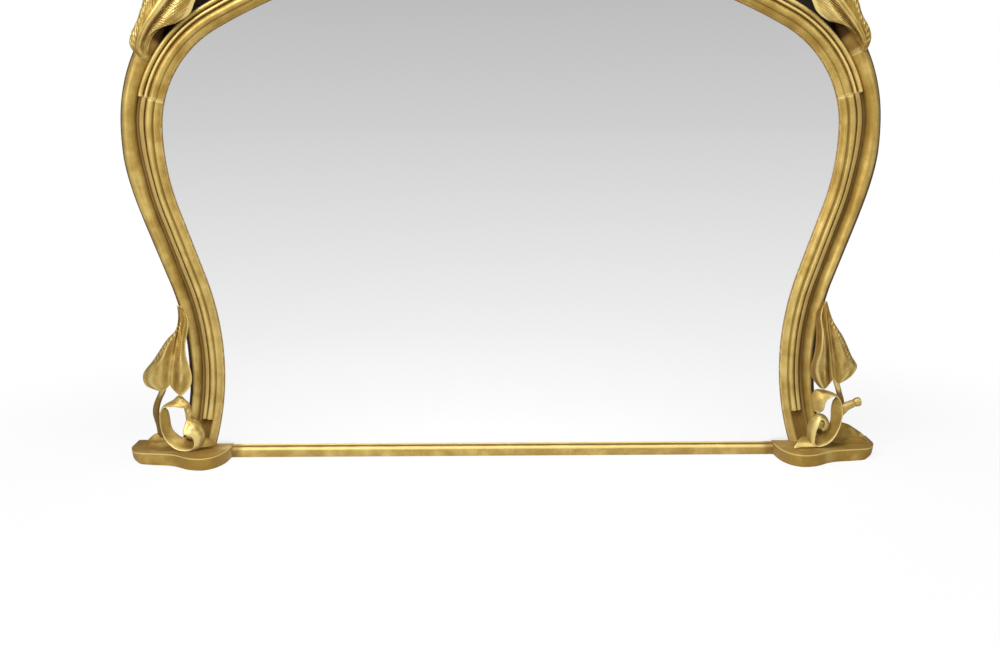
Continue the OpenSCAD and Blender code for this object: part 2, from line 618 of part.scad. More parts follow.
// ---- tendrils: ribbons that curl on the plinths, cut flat where they stand ----
module seated() {
    difference() {
        children();
        translate([0, plinth_h - far, -over]) cube([far, far, far]);
    }
}
left_ring = [[-8, 76, 72, 9, 4, -20], [2, 95, 73, 12, 4, -40], [16, 96, 74, 12, 5, -50], [34, 86, 76, 11, 4.5, -75],
    [44, 60, 78, 11, 4.5, -90], [36, 27, 82, 11, 4.5, -110], [12, 9, 86, 12, 5, -135], [-8, 7, 85, 11, 5, -150],
    [-18, 20, 82, 8, 5, -170]];
left_shell = [[-4, 84, 70, 5, 5, 0], [-12, 66, 70, 12, 11, 0], [-16, 42, 72, 16, 14, 0], [-13, 22, 76, 13, 11, 0],
    [-4, 12, 80, 7, 6, 0]];
left_tongue = [[-5, 10, 78, 8, 5, -60], [-22, 11, 60, 8, 4, -60], [-36, 9, 53, 6, 3.5, -60], [-44, 6, 51, 2, 2, -60]];
module left_tendril() {
    color(gilt) mirror([1, 0, 0]) facing() seated() {
        ribbon(at_foot(left_ring), 36, 8);
        ribbon(at_foot(left_shell), 10, 10);
        ribbon(at_foot(left_tongue), 6, 8);
    }
}

right_ring = [[-3, 68, 74, 11, 4, -60], [0, 92, 74, 11, 4, -55], [14, 103, 74, 12, 5, -50],
    [30, 97, 75, 11, 4.5, -70], [39, 75, 76, 10, 4.5, -90], [38, 50, 78, 9, 4.5, -90], [28, 25, 82, 9, 4.5, -110],
    [11, 8, 86, 10, 5, -130], [-7, 9, 86, 9, 4.5, -120], [-16, 24, 83, 9, 4, -90], [-12, 44, 80, 9, 4, -65],
    [2, 52, 79, 8, 4, -60], [12, 43, 80, 6, 3.5, -80], [10, 31, 82, 5, 3, -80], [4, 28, 83, 3, 2.5, -80]];
right_tongue = [[0, 9, 86, 9, 4, -60], [-18, 10, 80, 9, 4, -60], [-34, 8, 76, 7, 3, -60], [-46, 4, 74, 2, 2, -60]];
cut_shoot = [[42, 66, 74, 5, 5, 0], [52, 74, 72, 5.5, 5.5, 0], [65, 81, 68, 6, 6, 0], [83, 91, 65, 7.5, 7.5, 0]];
module right_tendril() {
    color(gilt) facing() seated() {
        ribbon(at_foot(right_ring), 52, 8);
        ribbon(at_foot(right_tongue), 6, 8);
        ribbon(at_foot(cut_shoot), 6, 8);
    }
}

// a low root mound: c is its middle [x, depth], r its half sizes, h its height, skew moves its top
module root_mound(c, r, h, skew) {
    facing() loft([for (s = steps(0, 84, 6))
        [for (k = [0:17])
            let (a = -20 * k, lump = 1 + 0.08 * sin(3 * a))
            [foot_leaf_x + c.x + r.x * cos(s) * lump * cos(a) + skew * sin(s),
             plinth_h + h * sin(s),
             back_gap + c.y + r.y * cos(s) * lump * sin(a)]]]);
}
module left_root_mound() { color(gilt) mirror([1, 0, 0]) root_mound([70, 36], [25, 15], left_mound_h, -3); }
module right_root_mound() { color(gilt) root_mound([76, 36], [36, 17], right_mound_h, -16); }

// ---- the crown: a bud between the crest stems, and a leaf over each of them ----
bud_foot = stem_in(90) - 16;
bud_base = stem_in(90) + crest_tip_w;
// heights above the sight edge, half widths and half depths of the bud
bud_rings = [[bud_foot, 3, 5], [bud_foot + 8, 8, 13], [bud_foot + 16, bud_neck, 20], [bud_base, bud_neck, 22],
    [bud_base + 0.18 * bud_h, bud_r * 0.86, 23], [bud_base + 0.4 * bud_h, bud_r, 24],
    [bud_base + 0.65 * bud_h, bud_r * 0.74, 18], [bud_base + 0.88 * bud_h, bud_r * 0.32, 9],
    [bud_base + bud_h, 1.5, 2]];
module crown_bud() {
    color(gilt) facing() loft([for (t = steps(0, 1, 24))
        let (p = curve(bud_rings, t), half = p[0] < bud_base + 1 ? min(p[1], bud_neck) : p[1])
        [for (k = [0:15])
            [half * cos(22.5 * k), crown_z + p[0], (back_gap + stem_top) / 2 - p[2] * sin(22.5 * k)]]]);
}

function on_crown(points) = [for (q = points) [q[0], crown_z + stem_in(90) + q[1], leaf_seat + q[2]]];
crown_rib = [[224, -56, 4], [172, -28, 10], [120, -6, 13], [74, 8, 13], [36, 12, 9]];
crown_upper = [[226, -54, 4], [196, -18, 7], [156, 8, 8], [116, 28, 8], [80, 37, 8], [52, 35, 7], [35, 25, 5]];
crown_lower = [[222, -58, 4], [190, -59, 7], [150, -47, 8], [112, -36, 8], [76, -26, 8], [50, -14, 7], [34, -1, 5]];
module crown_leaf() {
    facing() leaf(on_crown(crown_rib), on_crown(crown_lower), on_crown(crown_upper), [-2, 0],
        leaf_swell * 0.6, leaf_seat);
}
module left_crown_leaf() { color(gilt) mirror([1, 0, 0]) crown_leaf(); }
module right_crown_leaf() { color(gilt) crown_leaf(); }

// ---- the glass and the back ----
glass_foot = rebate_floor + setting_h;
module mirror_plate() {
    color(glass_grey) facing() translate([0, 0, glass_back]) linear_extrude(glass_t)
        polygon(whole_outline(rebate_w - glass_gap, glass_foot));
}
module setting_blocks() {
    color(timber) facing() for (s = [-1, 1])
        translate([s * plinth_in * 0.55 - block_len, rebate_floor, glass_back - 2])
            cube([2 * block_len, setting_h, glass_t + 1]);
}
block_u = rebate_w - fit - block_w;
module block_at(p, a) {
    translate([p.x, p.y, glass_back - block_w]) rotate([0, 0, a]) translate([0, -block_len / 2, 0])
        cube([block_w, block_len, block_w]);
}
module glazing_blocks() {
    color(timber) for (m = [0, 1]) mirror([m, 0, 0]) facing() {
        block_at(foot_point(8, block_u), 8);
        for (t = [5, 15]) block_at(waist_point(t, block_u), -t);
        for (a = [-13, -3, 66, 73, 80, 87]) block_at(upper_point(a, block_u), a);
    }
}

board_foot = 4;
board_count = 5;
board_mid = (board_count - 1) / 2;
board_pitch = (crown_z + board_u - board_foot - board_h) / (board_count - 1);  // height of the other boards
function board_low(i) = board_foot + i * board_pitch + (i > board_mid ? board_h - board_pitch : 0);
module back_board(i) {
    low = i == 0 ? board_foot : board_low(i) + board_gap / 2;
    high = i == board_count - 1 ? crown_z + 2 * board_u : board_low(i + 1) - board_gap / 2;
    color(timber) facing() translate([0, 0, back_gap - board_t]) difference() {
        linear_extrude(board_t) intersection() {
            polygon(whole_outline(board_u, board_foot));
            union() {
                translate([-far, max(low, plinth_h + fit)]) square([2 * far, high - max(low, plinth_h + fit)]);
                translate([-plinth_in + over, low]) square([2 * (plinth_in - over), high - low]);
            }
        }
        for (m = [0, 1]) mirror([m, 0, 0])
            for (s = concat(stile_nails, arch_nails, rail_nails)) translate([s.x, s.y, -over])
                cylinder(r = nail_r + hole_play, h = board_t + 2 * over);
    }
}
module back_board_1() { back_board(0); }
module back_board_2() { back_board(1); }
module back_board_3() { back_board(2); }
module back_board_4() { back_board(3); }
module back_board_5() { back_board(4); }
module board_nails() {
    color(steel) for (m = [0, 1]) mirror([m, 0, 0]) facing()
        for (s = concat(stile_nails, arch_nails, rail_nails)) nail(s);
}

// ---- fastenings ----
module rail_dowels() { color(timber) rail_dowel_shapes(dowel_r, dowel_len); }
module arch_dowels() {
    color(timber) {
        for (m = [0, 1]) mirror([m, 0, 0]) facing() shoulder_dowels(dowel_r, dowel_len);
        facing() crown_dowels(dowel_r, dowel_len);
    }
}
module plinth_screws() {
    color(steel) for (m = [0, 1]) mirror([m, 0, 0]) foot_screw_shapes(0, 0);
}
module flat_plate(c, a) {
    translate([c.x, c.y, back_gap - plate_t]) rotate([0, 0, a]) translate([-plate_w / 2, -plate_len / 2, 0])
        cube([plate_w, plate_len, plate_t]);
}
module mending_plates() {
    color(steel) {
        for (m = [0, 1]) mirror([m, 0, 0]) facing() difference() {
            flat_plate(shoulder_spot(0), joint_turn);
            plate_holes([for (d = plate_spots) shoulder_spot(d)]);
        }
        facing() difference() {
            flat_plate(crown_spot, 90);
            plate_holes([for (d = plate_spots) crown_spot + [d, 0]]);
        }
    }
}
module mending_screws() {
    color(steel) {
        for (m = [0, 1]) mirror([m, 0, 0]) facing() for (d = plate_spots) back_screw(shoulder_spot(d));
        facing() for (d = plate_spots) back_screw(crown_spot + [d, 0]);
    }
}

// ---- hangers: a D-shaped ring that swings in the folded eye of a strap ----
eye_wall = 1.2;
eye_r = wire_r + ring_play + eye_wall;
pivot_depth = back_gap - eye_r - 0.1;
bow_r = ring_r + wire_r;            // radius of the ring's bow at the middle of the wire
module along_x(len, r) { rotate([0, 90, 0]) cylinder(r = r, h = len, center = true); }
module strap_hanger() {
    facing() difference() {
        union() {
            translate([strap_x - plate_w / 2, hanger_z, back_gap - plate_t]) cube([plate_w, strap_len, plate_t]);
            translate([strap_x, hanger_z, pivot_depth]) along_x(plate_w, eye_r);
        }
        translate([strap_x, hanger_z, pivot_depth]) along_x(plate_w + 2 * over, wire_r + ring_play);
        plate_holes(strap_spots);
    }
}
module hanging_ring() {
    facing() translate([strap_x, hanger_z, pivot_depth]) {
        along_x(2 * bow_r + wire_r, wire_r);
        for (s = [-1, 1]) translate([s * bow_r, -ring_leg, 0]) rotate([-90, 0, 0])
            cylinder(r = wire_r, h = ring_leg + wire_r / 2);
        translate([0, -ring_leg, 0]) rotate([0, 0, 180]) rotate_extrude(angle = 180)
            translate([bow_r, 0]) circle(r = wire_r);
    }
}
module left_strap_hanger() { color(steel) mirror([1, 0, 0]) strap_hanger(); }
module right_strap_hanger() { color(steel) strap_hanger(); }
module left_hanging_ring() { color(steel) mirror([1, 0, 0]) hanging_ring(); }
module right_hanging_ring() { color(steel) hanging_ring(); }
module strap_screws() {
    color(steel) for (m = [0, 1]) mirror([m, 0, 0]) facing() for (s = strap_spots) back_screw(s);
}
bumper_turn = 76;                   // turn along the crown at which a wall bumper sits
module wall_bumpers() {
    color(felt) for (m = [0, 1]) mirror([m, 0, 0]) facing()
        translate(upper_point(bumper_turn, fix_u)) cylinder(r = bumper_r, h = back_gap);
}

left_stile();
right_stile();
left_arch();
right_arch();
left_side_stem();
right_side_stem();
left_crest_stem();
right_crest_stem();
left_crest_panel();
right_crest_panel();
bottom_rail();
left_plinth();
right_plinth();
left_shoulder_leaf();
right_shoulder_leaf();
left_foot_leaf();
right_foot_leaf();
left_tendril();
right_tendril();
left_root_mound();
right_root_mound();
crown_bud();
left_crown_leaf();
right_crown_leaf();
mirror_plate();
glazing_blocks();
setting_blocks();
back_board_1();
back_board_2();
back_board_3();
back_board_4();
back_board_5();
board_nails();
rail_dowels();
arch_dowels();
plinth_screws();
mending_plates();
mending_screws();
left_strap_hanger();
right_strap_hanger();
left_hanging_ring();
right_hanging_ring();
strap_screws();
wall_bumpers();
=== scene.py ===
# %% [markdown]
# # A giltwood overmantel mirror
# The mirror stands on a mantel shelf. A sinuous carved frame rises from two shaped plinths,
# arches over a large plate and carries leaves and curling tendrils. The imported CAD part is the
# fixed frame here: every carved piece below is drawn again, finer, in the place of its solid.
# The pieces were fitted to the photograph once more here, so they don't all lie on their solids.
# Stiles and side stems are up to 7 mm off, the leaves, tendrils and mounds of the feet one to two
# centimetres, and the inside of the right tendril's curl nearly three.

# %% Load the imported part
import json
import math

import bmesh
import bpy
import numpy as np
from mathutils import Matrix, Vector, noise


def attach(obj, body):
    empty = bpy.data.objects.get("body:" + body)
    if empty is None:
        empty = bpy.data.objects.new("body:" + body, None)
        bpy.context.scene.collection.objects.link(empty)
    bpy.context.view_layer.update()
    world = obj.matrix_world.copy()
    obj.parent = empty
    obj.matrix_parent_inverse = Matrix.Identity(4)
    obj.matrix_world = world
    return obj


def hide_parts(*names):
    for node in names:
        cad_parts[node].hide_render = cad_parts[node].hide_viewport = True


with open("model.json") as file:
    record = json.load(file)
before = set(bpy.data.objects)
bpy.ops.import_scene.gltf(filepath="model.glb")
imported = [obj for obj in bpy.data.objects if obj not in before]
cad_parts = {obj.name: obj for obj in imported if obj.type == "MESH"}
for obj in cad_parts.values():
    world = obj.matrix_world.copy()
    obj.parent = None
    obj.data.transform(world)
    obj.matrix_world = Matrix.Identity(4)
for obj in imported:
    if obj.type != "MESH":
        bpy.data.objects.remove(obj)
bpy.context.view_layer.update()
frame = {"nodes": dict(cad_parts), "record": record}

# %% [markdown]
# A carver works on the bench with the frame lying on its back. The drawing does the same:
# x to the right, y up the frame, z forward from the wall, in millimetres. One matrix stands a
# finished piece up against the wall in metres. The ornament of each foot is measured from
# FOOT_X, and a pair is drawn for the right side and turned over for the left.

# %% The bench and the wall
WALL = 79.0
STAND_UP = Matrix(((0.001, 0, 0, 0), (0, 0, -0.001, WALL / 1000), (0, 0.001, 0, 0), (0, 0, 0, 1)))
BACK, GLASS_FACE = 10.0, 34.0
BEFORE_GLASS = 36.0
STEM_EDGE, STEM_TOP = 43.0, 58.0
FIT = 0.3
LEAF_SEAT = STEM_TOP + FIT
FOOT_X = 636
SIDES = ((False, "right"), (True, "left"))


def mix(a, b, t):
    return a + (b - a) * t


def ease(t):
    s = min(max(t, 0.0), 1.0)
    return s * s * (3 - 2 * s)


def polar(centre, radius, degrees):
    return centre + radius * Vector((math.cos(math.radians(degrees)), math.sin(math.radians(degrees))))


# %% [markdown]
# The sight edge is the line where the gilding stops and the glass begins. It is drawn with a
# compass: arcs for foot, waist, belly, shoulder and crown that run into each other, and one
# straight stretch. A place on the frame is how far along that line it lies, and how far out.

# %% The sight edge
LEAN, SHOULDER_TURN, JOINT_TURN, STEM_SPLIT = 19.4, 60.8, 14.0, 30.0
WAIST_HALF, WAIST_Z = 566.0, 184.0
FOOT_R, WAIST_R, STRAIGHT, BELLY_R, SHOULDER_R = 563.0, 572.0, 139.0, 482.0, 224.0
PLINTH_H = 24.0
foot_c = Vector((WAIST_HALF + FOOT_R, WAIST_Z))
waist_c = Vector((WAIST_HALF + WAIST_R, WAIST_Z))
rise = Vector((math.sin(math.radians(LEAN)), math.cos(math.radians(LEAN))))
outward = Vector((rise.y, -rise.x))
lean_start = waist_c - WAIST_R * outward
lean_end = lean_start + STRAIGHT * rise
belly_c = lean_end - BELLY_R * outward
belly_x = belly_c.x + BELLY_R
shoulder_c = Vector((belly_x - SHOULDER_R, belly_c.y))
crown_start = polar(shoulder_c, SHOULDER_R, SHOULDER_TURN)
crown_r = crown_start.x / math.cos(math.radians(SHOULDER_TURN))
crown_c = Vector((0, crown_start.y - crown_r * math.sin(math.radians(SHOULDER_TURN))))
crown_z = crown_c.y + crown_r
runs = [WAIST_R * math.radians(LEAN), STRAIGHT, BELLY_R * math.radians(LEAN),
        SHOULDER_R * math.radians(SHOULDER_TURN), crown_r * math.radians(90 - SHOULDER_TURN)]
marks = [sum(runs[:i + 1]) for i in range(len(runs))]


def turn_at(run):
    """The way the sight edge faces, in degrees, at a distance along it from the waist."""
    if run < marks[1]:
        return -LEAN
    if run < marks[2]:
        return -LEAN + math.degrees((run - marks[1]) / BELLY_R)
    if run < marks[3]:
        return math.degrees((run - marks[2]) / SHOULDER_R)
    return SHOULDER_TURN + math.degrees((run - marks[3]) / crown_r)


def run_to(turn):
    """The distance along the sight edge at which it faces a way, above the belly's start."""
    if turn < 0:
        return marks[1] + BELLY_R * math.radians(turn + LEAN)
    if turn < SHOULDER_TURN:
        return marks[2] + SHOULDER_R * math.radians(turn)
    return marks[3] + crown_r * math.radians(turn - SHOULDER_TURN)


def edge_point(run, out):
    """The point of the right half that lies so far along the sight edge, and so far out."""
    if run < 0:
        return polar(foot_c, FOOT_R - out, 180 - math.degrees(run / FOOT_R))
    if run < marks[0]:
        return polar(waist_c, WAIST_R - out, 180 - math.degrees(run / WAIST_R))
    if run < marks[1]:
        return lean_start + (run - marks[0]) * rise + out * outward
    turn = turn_at(run)
    centre, radius = ((belly_c, BELLY_R) if turn < 0 else
                      (shoulder_c, SHOULDER_R) if turn < SHOULDER_TURN else (crown_c, crown_r))
    return polar(centre, radius + out, turn)


def edge_place(x, y):
    """How far along the sight edge a point lies, and how far out."""
    p = Vector((abs(x), y))
    if y < WAIST_Z:
        arm = foot_c - p
        return -FOOT_R * math.atan2(arm.y, arm.x), FOOT_R - arm.length
    arm = waist_c - p
    turn = math.atan2(-arm.y, arm.x)
    if turn < math.radians(LEAN):
        return WAIST_R * turn, WAIST_R - arm.length
    along = (p - lean_start).dot(rise)
    if along < STRAIGHT:
        return marks[0] + along, (p - lean_start).dot(outward)
    arcs = ((belly_c, BELLY_R, -LEAN, 0), (shoulder_c, SHOULDER_R, 0, SHOULDER_TURN),
            (crown_c, crown_r, SHOULDER_TURN, 91))
    for centre, radius, low, high in arcs:
        arm = p - centre
        turn = math.degrees(math.atan2(arm.y, arm.x))
        if turn <= high:
            return run_to(max(turn, low)), arm.length - radius
    return run_to(90), arm.length - radius


foot_run = FOOT_R * math.asin((WAIST_Z - PLINTH_H) / FOOT_R)
print("sight edge:", round(marks[4] + foot_run), "mm a side, crown at", round(crown_z, 1))

# %% [markdown]
# Aged water gilding is gold leaf over red clay (bole) over white gesso. Long dusting leaves the
# ridges pale, rubs the sight edge through to the clay and leaves brown dirt in every hollow.
# Here the hollows also carry painted shade, and the ridges a painted highlight. So a finish
# needs to know where hollows and ridges are. A smoothed copy of the mesh tells: where it lies
# above the surface the point is in a hollow, where it lies below, on a ridge. The number is
# stored on the mesh's points, where a material can read it.

# %% Finding hollows and ridges
def mark_hollows(mesh, passes, depth):
    n = len(mesh.vertices)
    place, facing, ends = np.empty(3 * n), np.empty(3 * n), np.empty(2 * len(mesh.edges), int)
    mesh.vertices.foreach_get("co", place)
    mesh.vertices.foreach_get("normal", facing)
    mesh.edges.foreach_get("vertices", ends)
    place, a, b = place.reshape(-1, 3), ends[0::2], ends[1::2]
    count = np.maximum(np.bincount(ends, minlength=n), 1)
    soft = place.copy()
    for _ in range(passes):
        for axis in range(3):
            near = np.bincount(a, soft[b, axis], n) + np.bincount(b, soft[a, axis], n)
            soft[:, axis] = 0.4 * soft[:, axis] + 0.6 * near / count
    hollow = ((soft - place) * facing.reshape(-1, 3)).sum(1) / (depth / 1000)
    mesh.attributes.new("hollow", "FLOAT", "POINT").data.foreach_set("value", np.clip(hollow, -1, 1))


# %% [markdown]
# Every finished piece goes through the same last steps on the bench: the left one of a pair is
# turned over, faces are made to point outwards, undersides and the places its shade function
# names are darkened with painted shade, the piece is stood up, its hollows are marked, and it is
# hung on the frame in place of its solid.

# %% Hanging a finished piece
pieces = {}


def hang(bm, name, finish, nodes=(), left=False, crease=38, passes=10, depth=1.4, painted_shade=None,
         wear_and_highlight=None):
    if left:
        bmesh.ops.scale(bm, vec=(-1, 1, 1), verts=bm.verts)
    bmesh.ops.recalc_face_normals(bm, faces=bm.faces)
    bm.normal_update()
    # Each point carries a number of painted shade: how much it is darkened.
    shade = bm.verts.layers.float.new("painted_shade")
    for v in bm.verts:
        # Painted shade: faces that point downwards are darkened.
        under = 0.5 * ease((-v.normal.y - 0.25) / 0.6)
        v[shade] = max(under, painted_shade(v.co) if painted_shade else 0.0)
    # A piece may also carry a number of wear and painted highlight: how much it is paled.
    if wear_and_highlight:
        rub = bm.verts.layers.float.new("wear_and_highlight")
        for v in bm.verts:
            v[rub] = wear_and_highlight(v.co)
    bmesh.ops.transform(bm, matrix=STAND_UP, verts=bm.verts)
    mesh = bpy.data.meshes.new(name)
    bm.to_mesh(mesh)
    bm.free()
    mesh.shade_smooth()
    mesh.set_sharp_from_angle(angle=math.radians(crease))
    mark_hollows(mesh, passes, depth)
    mesh.materials.append(finish)
    piece = bpy.data.objects.new(name, mesh)
    bpy.context.scene.collection.objects.link(piece)
    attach(piece, "frame")
    if nodes:
        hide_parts(*nodes)
    pieces[name] = piece
    print(f"{name}: {len(mesh.polygons)} faces")


# %% [markdown]
# A material is a small sum: gold, minus dirt and painted shade in the hollows, plus wear and a
# painted highlight on the ridges. To write such sums as sums, a Wire wraps a node's output, and
# adding or multiplying wires adds the Math nodes. Every other node comes from the Bench method `node`.

# %% Wires and the bench
class Wire:
    def __init__(self, bench, socket):
        self.bench, self.socket = bench, socket

    def __add__(self, other):
        return self.bench.sum("ADD", self, other)

    def __mul__(self, other):
        return self.bench.sum("MULTIPLY", self, other)

    def __sub__(self, other):
        return self.bench.sum("SUBTRACT", self, other)

    def __rsub__(self, other):
        return self.bench.sum("SUBTRACT", other, self)

    __radd__, __rmul__ = __add__, __mul__


class Bench:
    def __init__(self, name, kinds=bpy.data.materials):
        self.made = kinds.new(name)
        self.made.use_nodes = True
        self.tree = self.made.node_tree
        self.shader = next(n for n in self.tree.nodes if n.type in ("BSDF_PRINCIPLED", "BACKGROUND"))
        self.end = next(n for n in self.tree.nodes if n.type.startswith("OUTPUT"))

    def set(self, node, inputs):
        for key, value in inputs.items():
            if isinstance(value, Wire):
                self.tree.links.new(value.socket, node.inputs[key])
            else:
                node.inputs[key].default_value = value

    def node(self, kind, settings=None, inputs=None, out=0):
        node = self.tree.nodes.new(kind)
        for key, value in (settings or {}).items():
            setattr(node, key, value)
        self.set(node, inputs or {})
        return Wire(self, node.outputs[out])

    def sum(self, operation, a, b):
        return self.node("ShaderNodeMath", {"operation": operation}, {0: a, 1: b})

    def between(self, value, low, high):
        """0 below low and 1 above high, with a soft slope between."""
        return self.node("ShaderNodeMapRange", {"interpolation_type": "SMOOTHSTEP"},
                         {"Value": value, "From Min": low, "From Max": high,
                          "To Min": 0.0, "To Max": 1.0})

    def blend(self, share, a, b):
        """A colour between a and b."""
        a, b = (c if isinstance(c, Wire) else (*c, 1) for c in (a, b))
        return self.node("ShaderNodeMix", {"data_type": "RGBA"}, {0: share, 6: a, 7: b}, out=2)

    def where(self):
        """The place on the piece, in its own coordinates."""
        return self.node("ShaderNodeTexCoord", out=3)

    def marked(self, name, out=2):
        """A number that the mesh's points carry, or with out=1 a vector."""
        return self.node("ShaderNodeAttribute", {"attribute_name": name}, out=out)

    def stretched(self, where, *scale):
        return self.node("ShaderNodeMapping", {}, {"Vector": where, "Scale": scale})

    def noise(self, where, scale, detail=3.0, rough=0.55):
        return self.node("ShaderNodeTexNoise", {},
                         {"Vector": where, "Scale": scale, "Detail": detail, "Roughness": rough})

    def bump(self, height, distance, strength):
        return self.node("ShaderNodeBump", {},
                         {"Height": height, "Distance": distance, "Strength": strength})

    def done(self, **inputs):
        self.set(self.shader, {key.replace("_", " "): value for key, value in inputs.items()})
        return self.made


# %% [markdown]
# The gilding itself. The base is leaf that varies from warm to pale in clouds a few
# centimetres across. Brushed size shows as fine streaks along the moulding, so they read the
# piece's own UV map, whose u runs along the sight edge. Hollows darken with the hollow number,
# dirt and painted shade together; ridges and the marked places turn pale, partly wear and
# partly painted highlight; clay shows through at the sight edge in broken patches; and the
# piece's painted shade turns it brown, near black where it is deepest.

# %% The gilding
LEAF_GOLD, PALE_GOLD, DEEP_GOLD = (0.57, 0.390, 0.100), (0.81, 0.64, 0.245), (0.31, 0.185, 0.034)
GRIME_AND_SHADE, CLAY = (0.085, 0.036, 0.006), (0.33, 0.135, 0.024)
# SHADE_BROWN and DEEP_SHADE are the colours of painted shade.
SHADE_BROWN, DEEP_SHADE = (0.190, 0.092, 0.015), (0.055, 0.022, 0.005)


def gilding(name, streaks=1.0, hollow_darkening=1.0, sight_wear=False, shine=0.36, metal_share=0.7):
    b = Bench(name)
    where = b.where()
    uv = b.node("ShaderNodeUVMap", {"uv_map": "run"})
    hollow, painted_shade, wear_and_highlight = b.marked("hollow"), b.marked("painted_shade"), b.marked("wear_and_highlight")
    clouds = b.noise(where, 26.0, 4.0)
    drift = b.noise(where, 9.0, 2.0)
    grain = b.noise(where, 420.0, 3.0, 0.7)
    brushed = b.noise(b.stretched(uv, 14.0, 620.0, 1.0), 1.0, 4.0, 0.6)
    tone = b.between(clouds * 0.55 + brushed * 0.35 * streaks + drift * 0.3, 0.40, 0.84)
    gold = b.blend(tone, DEEP_GOLD, LEAF_GOLD)
    gold = b.blend(b.between(drift * 0.5 + clouds * 0.5, 0.46, 0.72) * 0.35, gold, PALE_GOLD)
    # Ridges and marked places turn pale: partly wear, partly painted highlight.
    rubbed_and_highlit = b.between(wear_and_highlight + hollow * -1.0 + grain * 0.25 + clouds * 0.2, 0.25, 0.80)
    gold = b.blend(rubbed_and_highlit * 0.85, gold, PALE_GOLD)
    # Hollows darken: dirt and painted shade together.
    dirt_and_shade = b.between(hollow + (clouds - 0.5) * 0.4 + (grain - 0.5) * 0.3, 0.02, 0.60) * hollow_darkening
    speck = b.node("ShaderNodeTexVoronoi", {}, {"Vector": where, "Scale": 150.0})
    pit = (1.0 - b.between(speck, 0.035, 0.085)) * b.between(b.noise(where, 31.0, 2.0), 0.56, 0.66)
    gold = b.blend(pit * 0.8, gold, GRIME_AND_SHADE)
    gold = b.blend(dirt_and_shade * 0.9, gold, GRIME_AND_SHADE)
    # Painted shade that the piece carries: brown, and near black where it is deepest.
    gold = b.blend(b.between(painted_shade, 0.76, 1.0), b.blend(painted_shade, gold, SHADE_BROWN), DEEP_SHADE)
    clay_shows = 0.0
    if sight_wear:
        sight = b.node("ShaderNodeSeparateXYZ", {}, {"Vector": b.marked("sight", out=1)})
        patches = b.noise(b.stretched(uv, 60.0, 200.0, 1.0), 1.0, 5.0, 0.7)
        clay_shows = b.between(sight + (patches - 0.5) * 1.9, 0.62, 0.95)
        gold = b.blend(clay_shows * 0.85, gold, b.blend(b.between(patches, 0.40, 0.66), GRIME_AND_SHADE, CLAY))
    height = brushed * 0.35 * streaks + grain * 0.25 + clouds * 0.5 - pit * 0.8 - clay_shows * 0.6
    metal = b.between(1.0 - dirt_and_shade * 0.6 - painted_shade * 0.45 - clay_shows - pit * 0.5, 0.05, 1.0) * metal_share
    rough = shine + brushed * 0.12 + dirt_and_shade * 0.25 + painted_shade * 0.2 + (1.0 - tone) * 0.1
    b.shader.inputs["Specular IOR Level"].default_value = 0.2
    return b.done(Base_Color=gold, Metallic=metal, Roughness=rough, Normal=b.bump(height, 0.0006, 0.55))


moulding_gilt = gilding("aged gilding on the mouldings", sight_wear=True)
stem_gilt = gilding("aged gilding on the stems")
carved_gilt = gilding("aged gilding on the carving", streaks=0.4, hollow_darkening=1.1, shine=0.28)
tendril_gilt = gilding("burnished gilding on the tendrils", streaks=0.3, hollow_darkening=1.3, shine=0.29,
                       metal_share=0.6)
base_gilt = gilding("aged gilding on the base", streaks=0.5, hollow_darkening=0.7, shine=0.42, metal_share=0.4)

# %% [markdown]
# A moulding is one section drawn along a line. A joiner would run a scratch stock along the
# curve, and `spin` does the same: it turns the section about each arc's own centre. The
# section below is the stile's: a sloping sight lip, a hollow, a bead, a quirk, a flat strip
# and the groove against the outer stem, each as (distance out, height from the wall).

# %% The stile's section
def round_over(centre, radius, start, end, steps):
    return [tuple(polar(Vector(centre), radius, mix(start, end, i / steps))) for i in range(steps + 1)]


lip = [(12, BACK), (12, GLASS_FACE), (0.25, GLASS_FACE), (0.0, 35.0), (0.0, 36.8), (0.35, 37.55)]
lip_steps = (0.08, 0.16, 0.25, 0.34, 0.44, 0.54, 0.64, 0.74, 0.84, 0.93, 0.99)
lip += [(14 * t, 37.5 + 8.5 * math.sin(math.pi / 2 * t)) for t in lip_steps]
stile_section = lip + [(14.4, 45.6), (14.9, 45.1), (15.5, 44.9), (16.1, 45.1), (16.7, 45.8), (17.3, 46.9)]
stile_section += round_over((22.6, 46.4), 5.1, 165, 8, 14)
stile_section += [(27.9, 46.6), (28.2, 46.1), (28.6, 46.2), (28.9, 47.6), (29.1, 49.4), (29.4, 50.4),
                  (30.0, 50.9), (31.0, 51.0), (32.5, 51.0), (34.0, 50.9), (35.0, 50.6), (35.7, 50.0),
                  (36.3, 48.8), (36.9, 47.0), (37.5, 44.8), (38.2, 42.9), (39.1, 41.5), (40.2, 40.8),
                  (41.5, 40.5), (42.8, 40.4), (44, 40.5), (44, 30), (44, BACK)]
print("stile section:", len(stile_section), "points")

# %% [markdown]
# The moulded pieces share a helper. It lays the section down as a loop of edges at the start,
# spins or draws it on through each run, closes both ends, cuts the foot level where it stands
# on the plinth, and lays a UV map on it: u along the sight edge, v across the section.

# %% Running a moulding
def lay_section(bm, section, run):
    verts = [bm.verts.new((*edge_point(run, out), height)) for out, height in section]
    edges = [bm.edges.new((verts[i - 1], verts[i])) for i in range(len(verts))]
    return verts + edges


def spin_on(bm, ring, centre, degrees, steps):
    return bmesh.ops.spin(bm, geom=ring, cent=(*centre, 0), axis=(0, 0, 1), dvec=(0, 0, 0),
                          angle=math.radians(degrees), steps=steps, use_merge=False,
                          use_normal_flip=False, use_duplicate=False)["geom_last"]


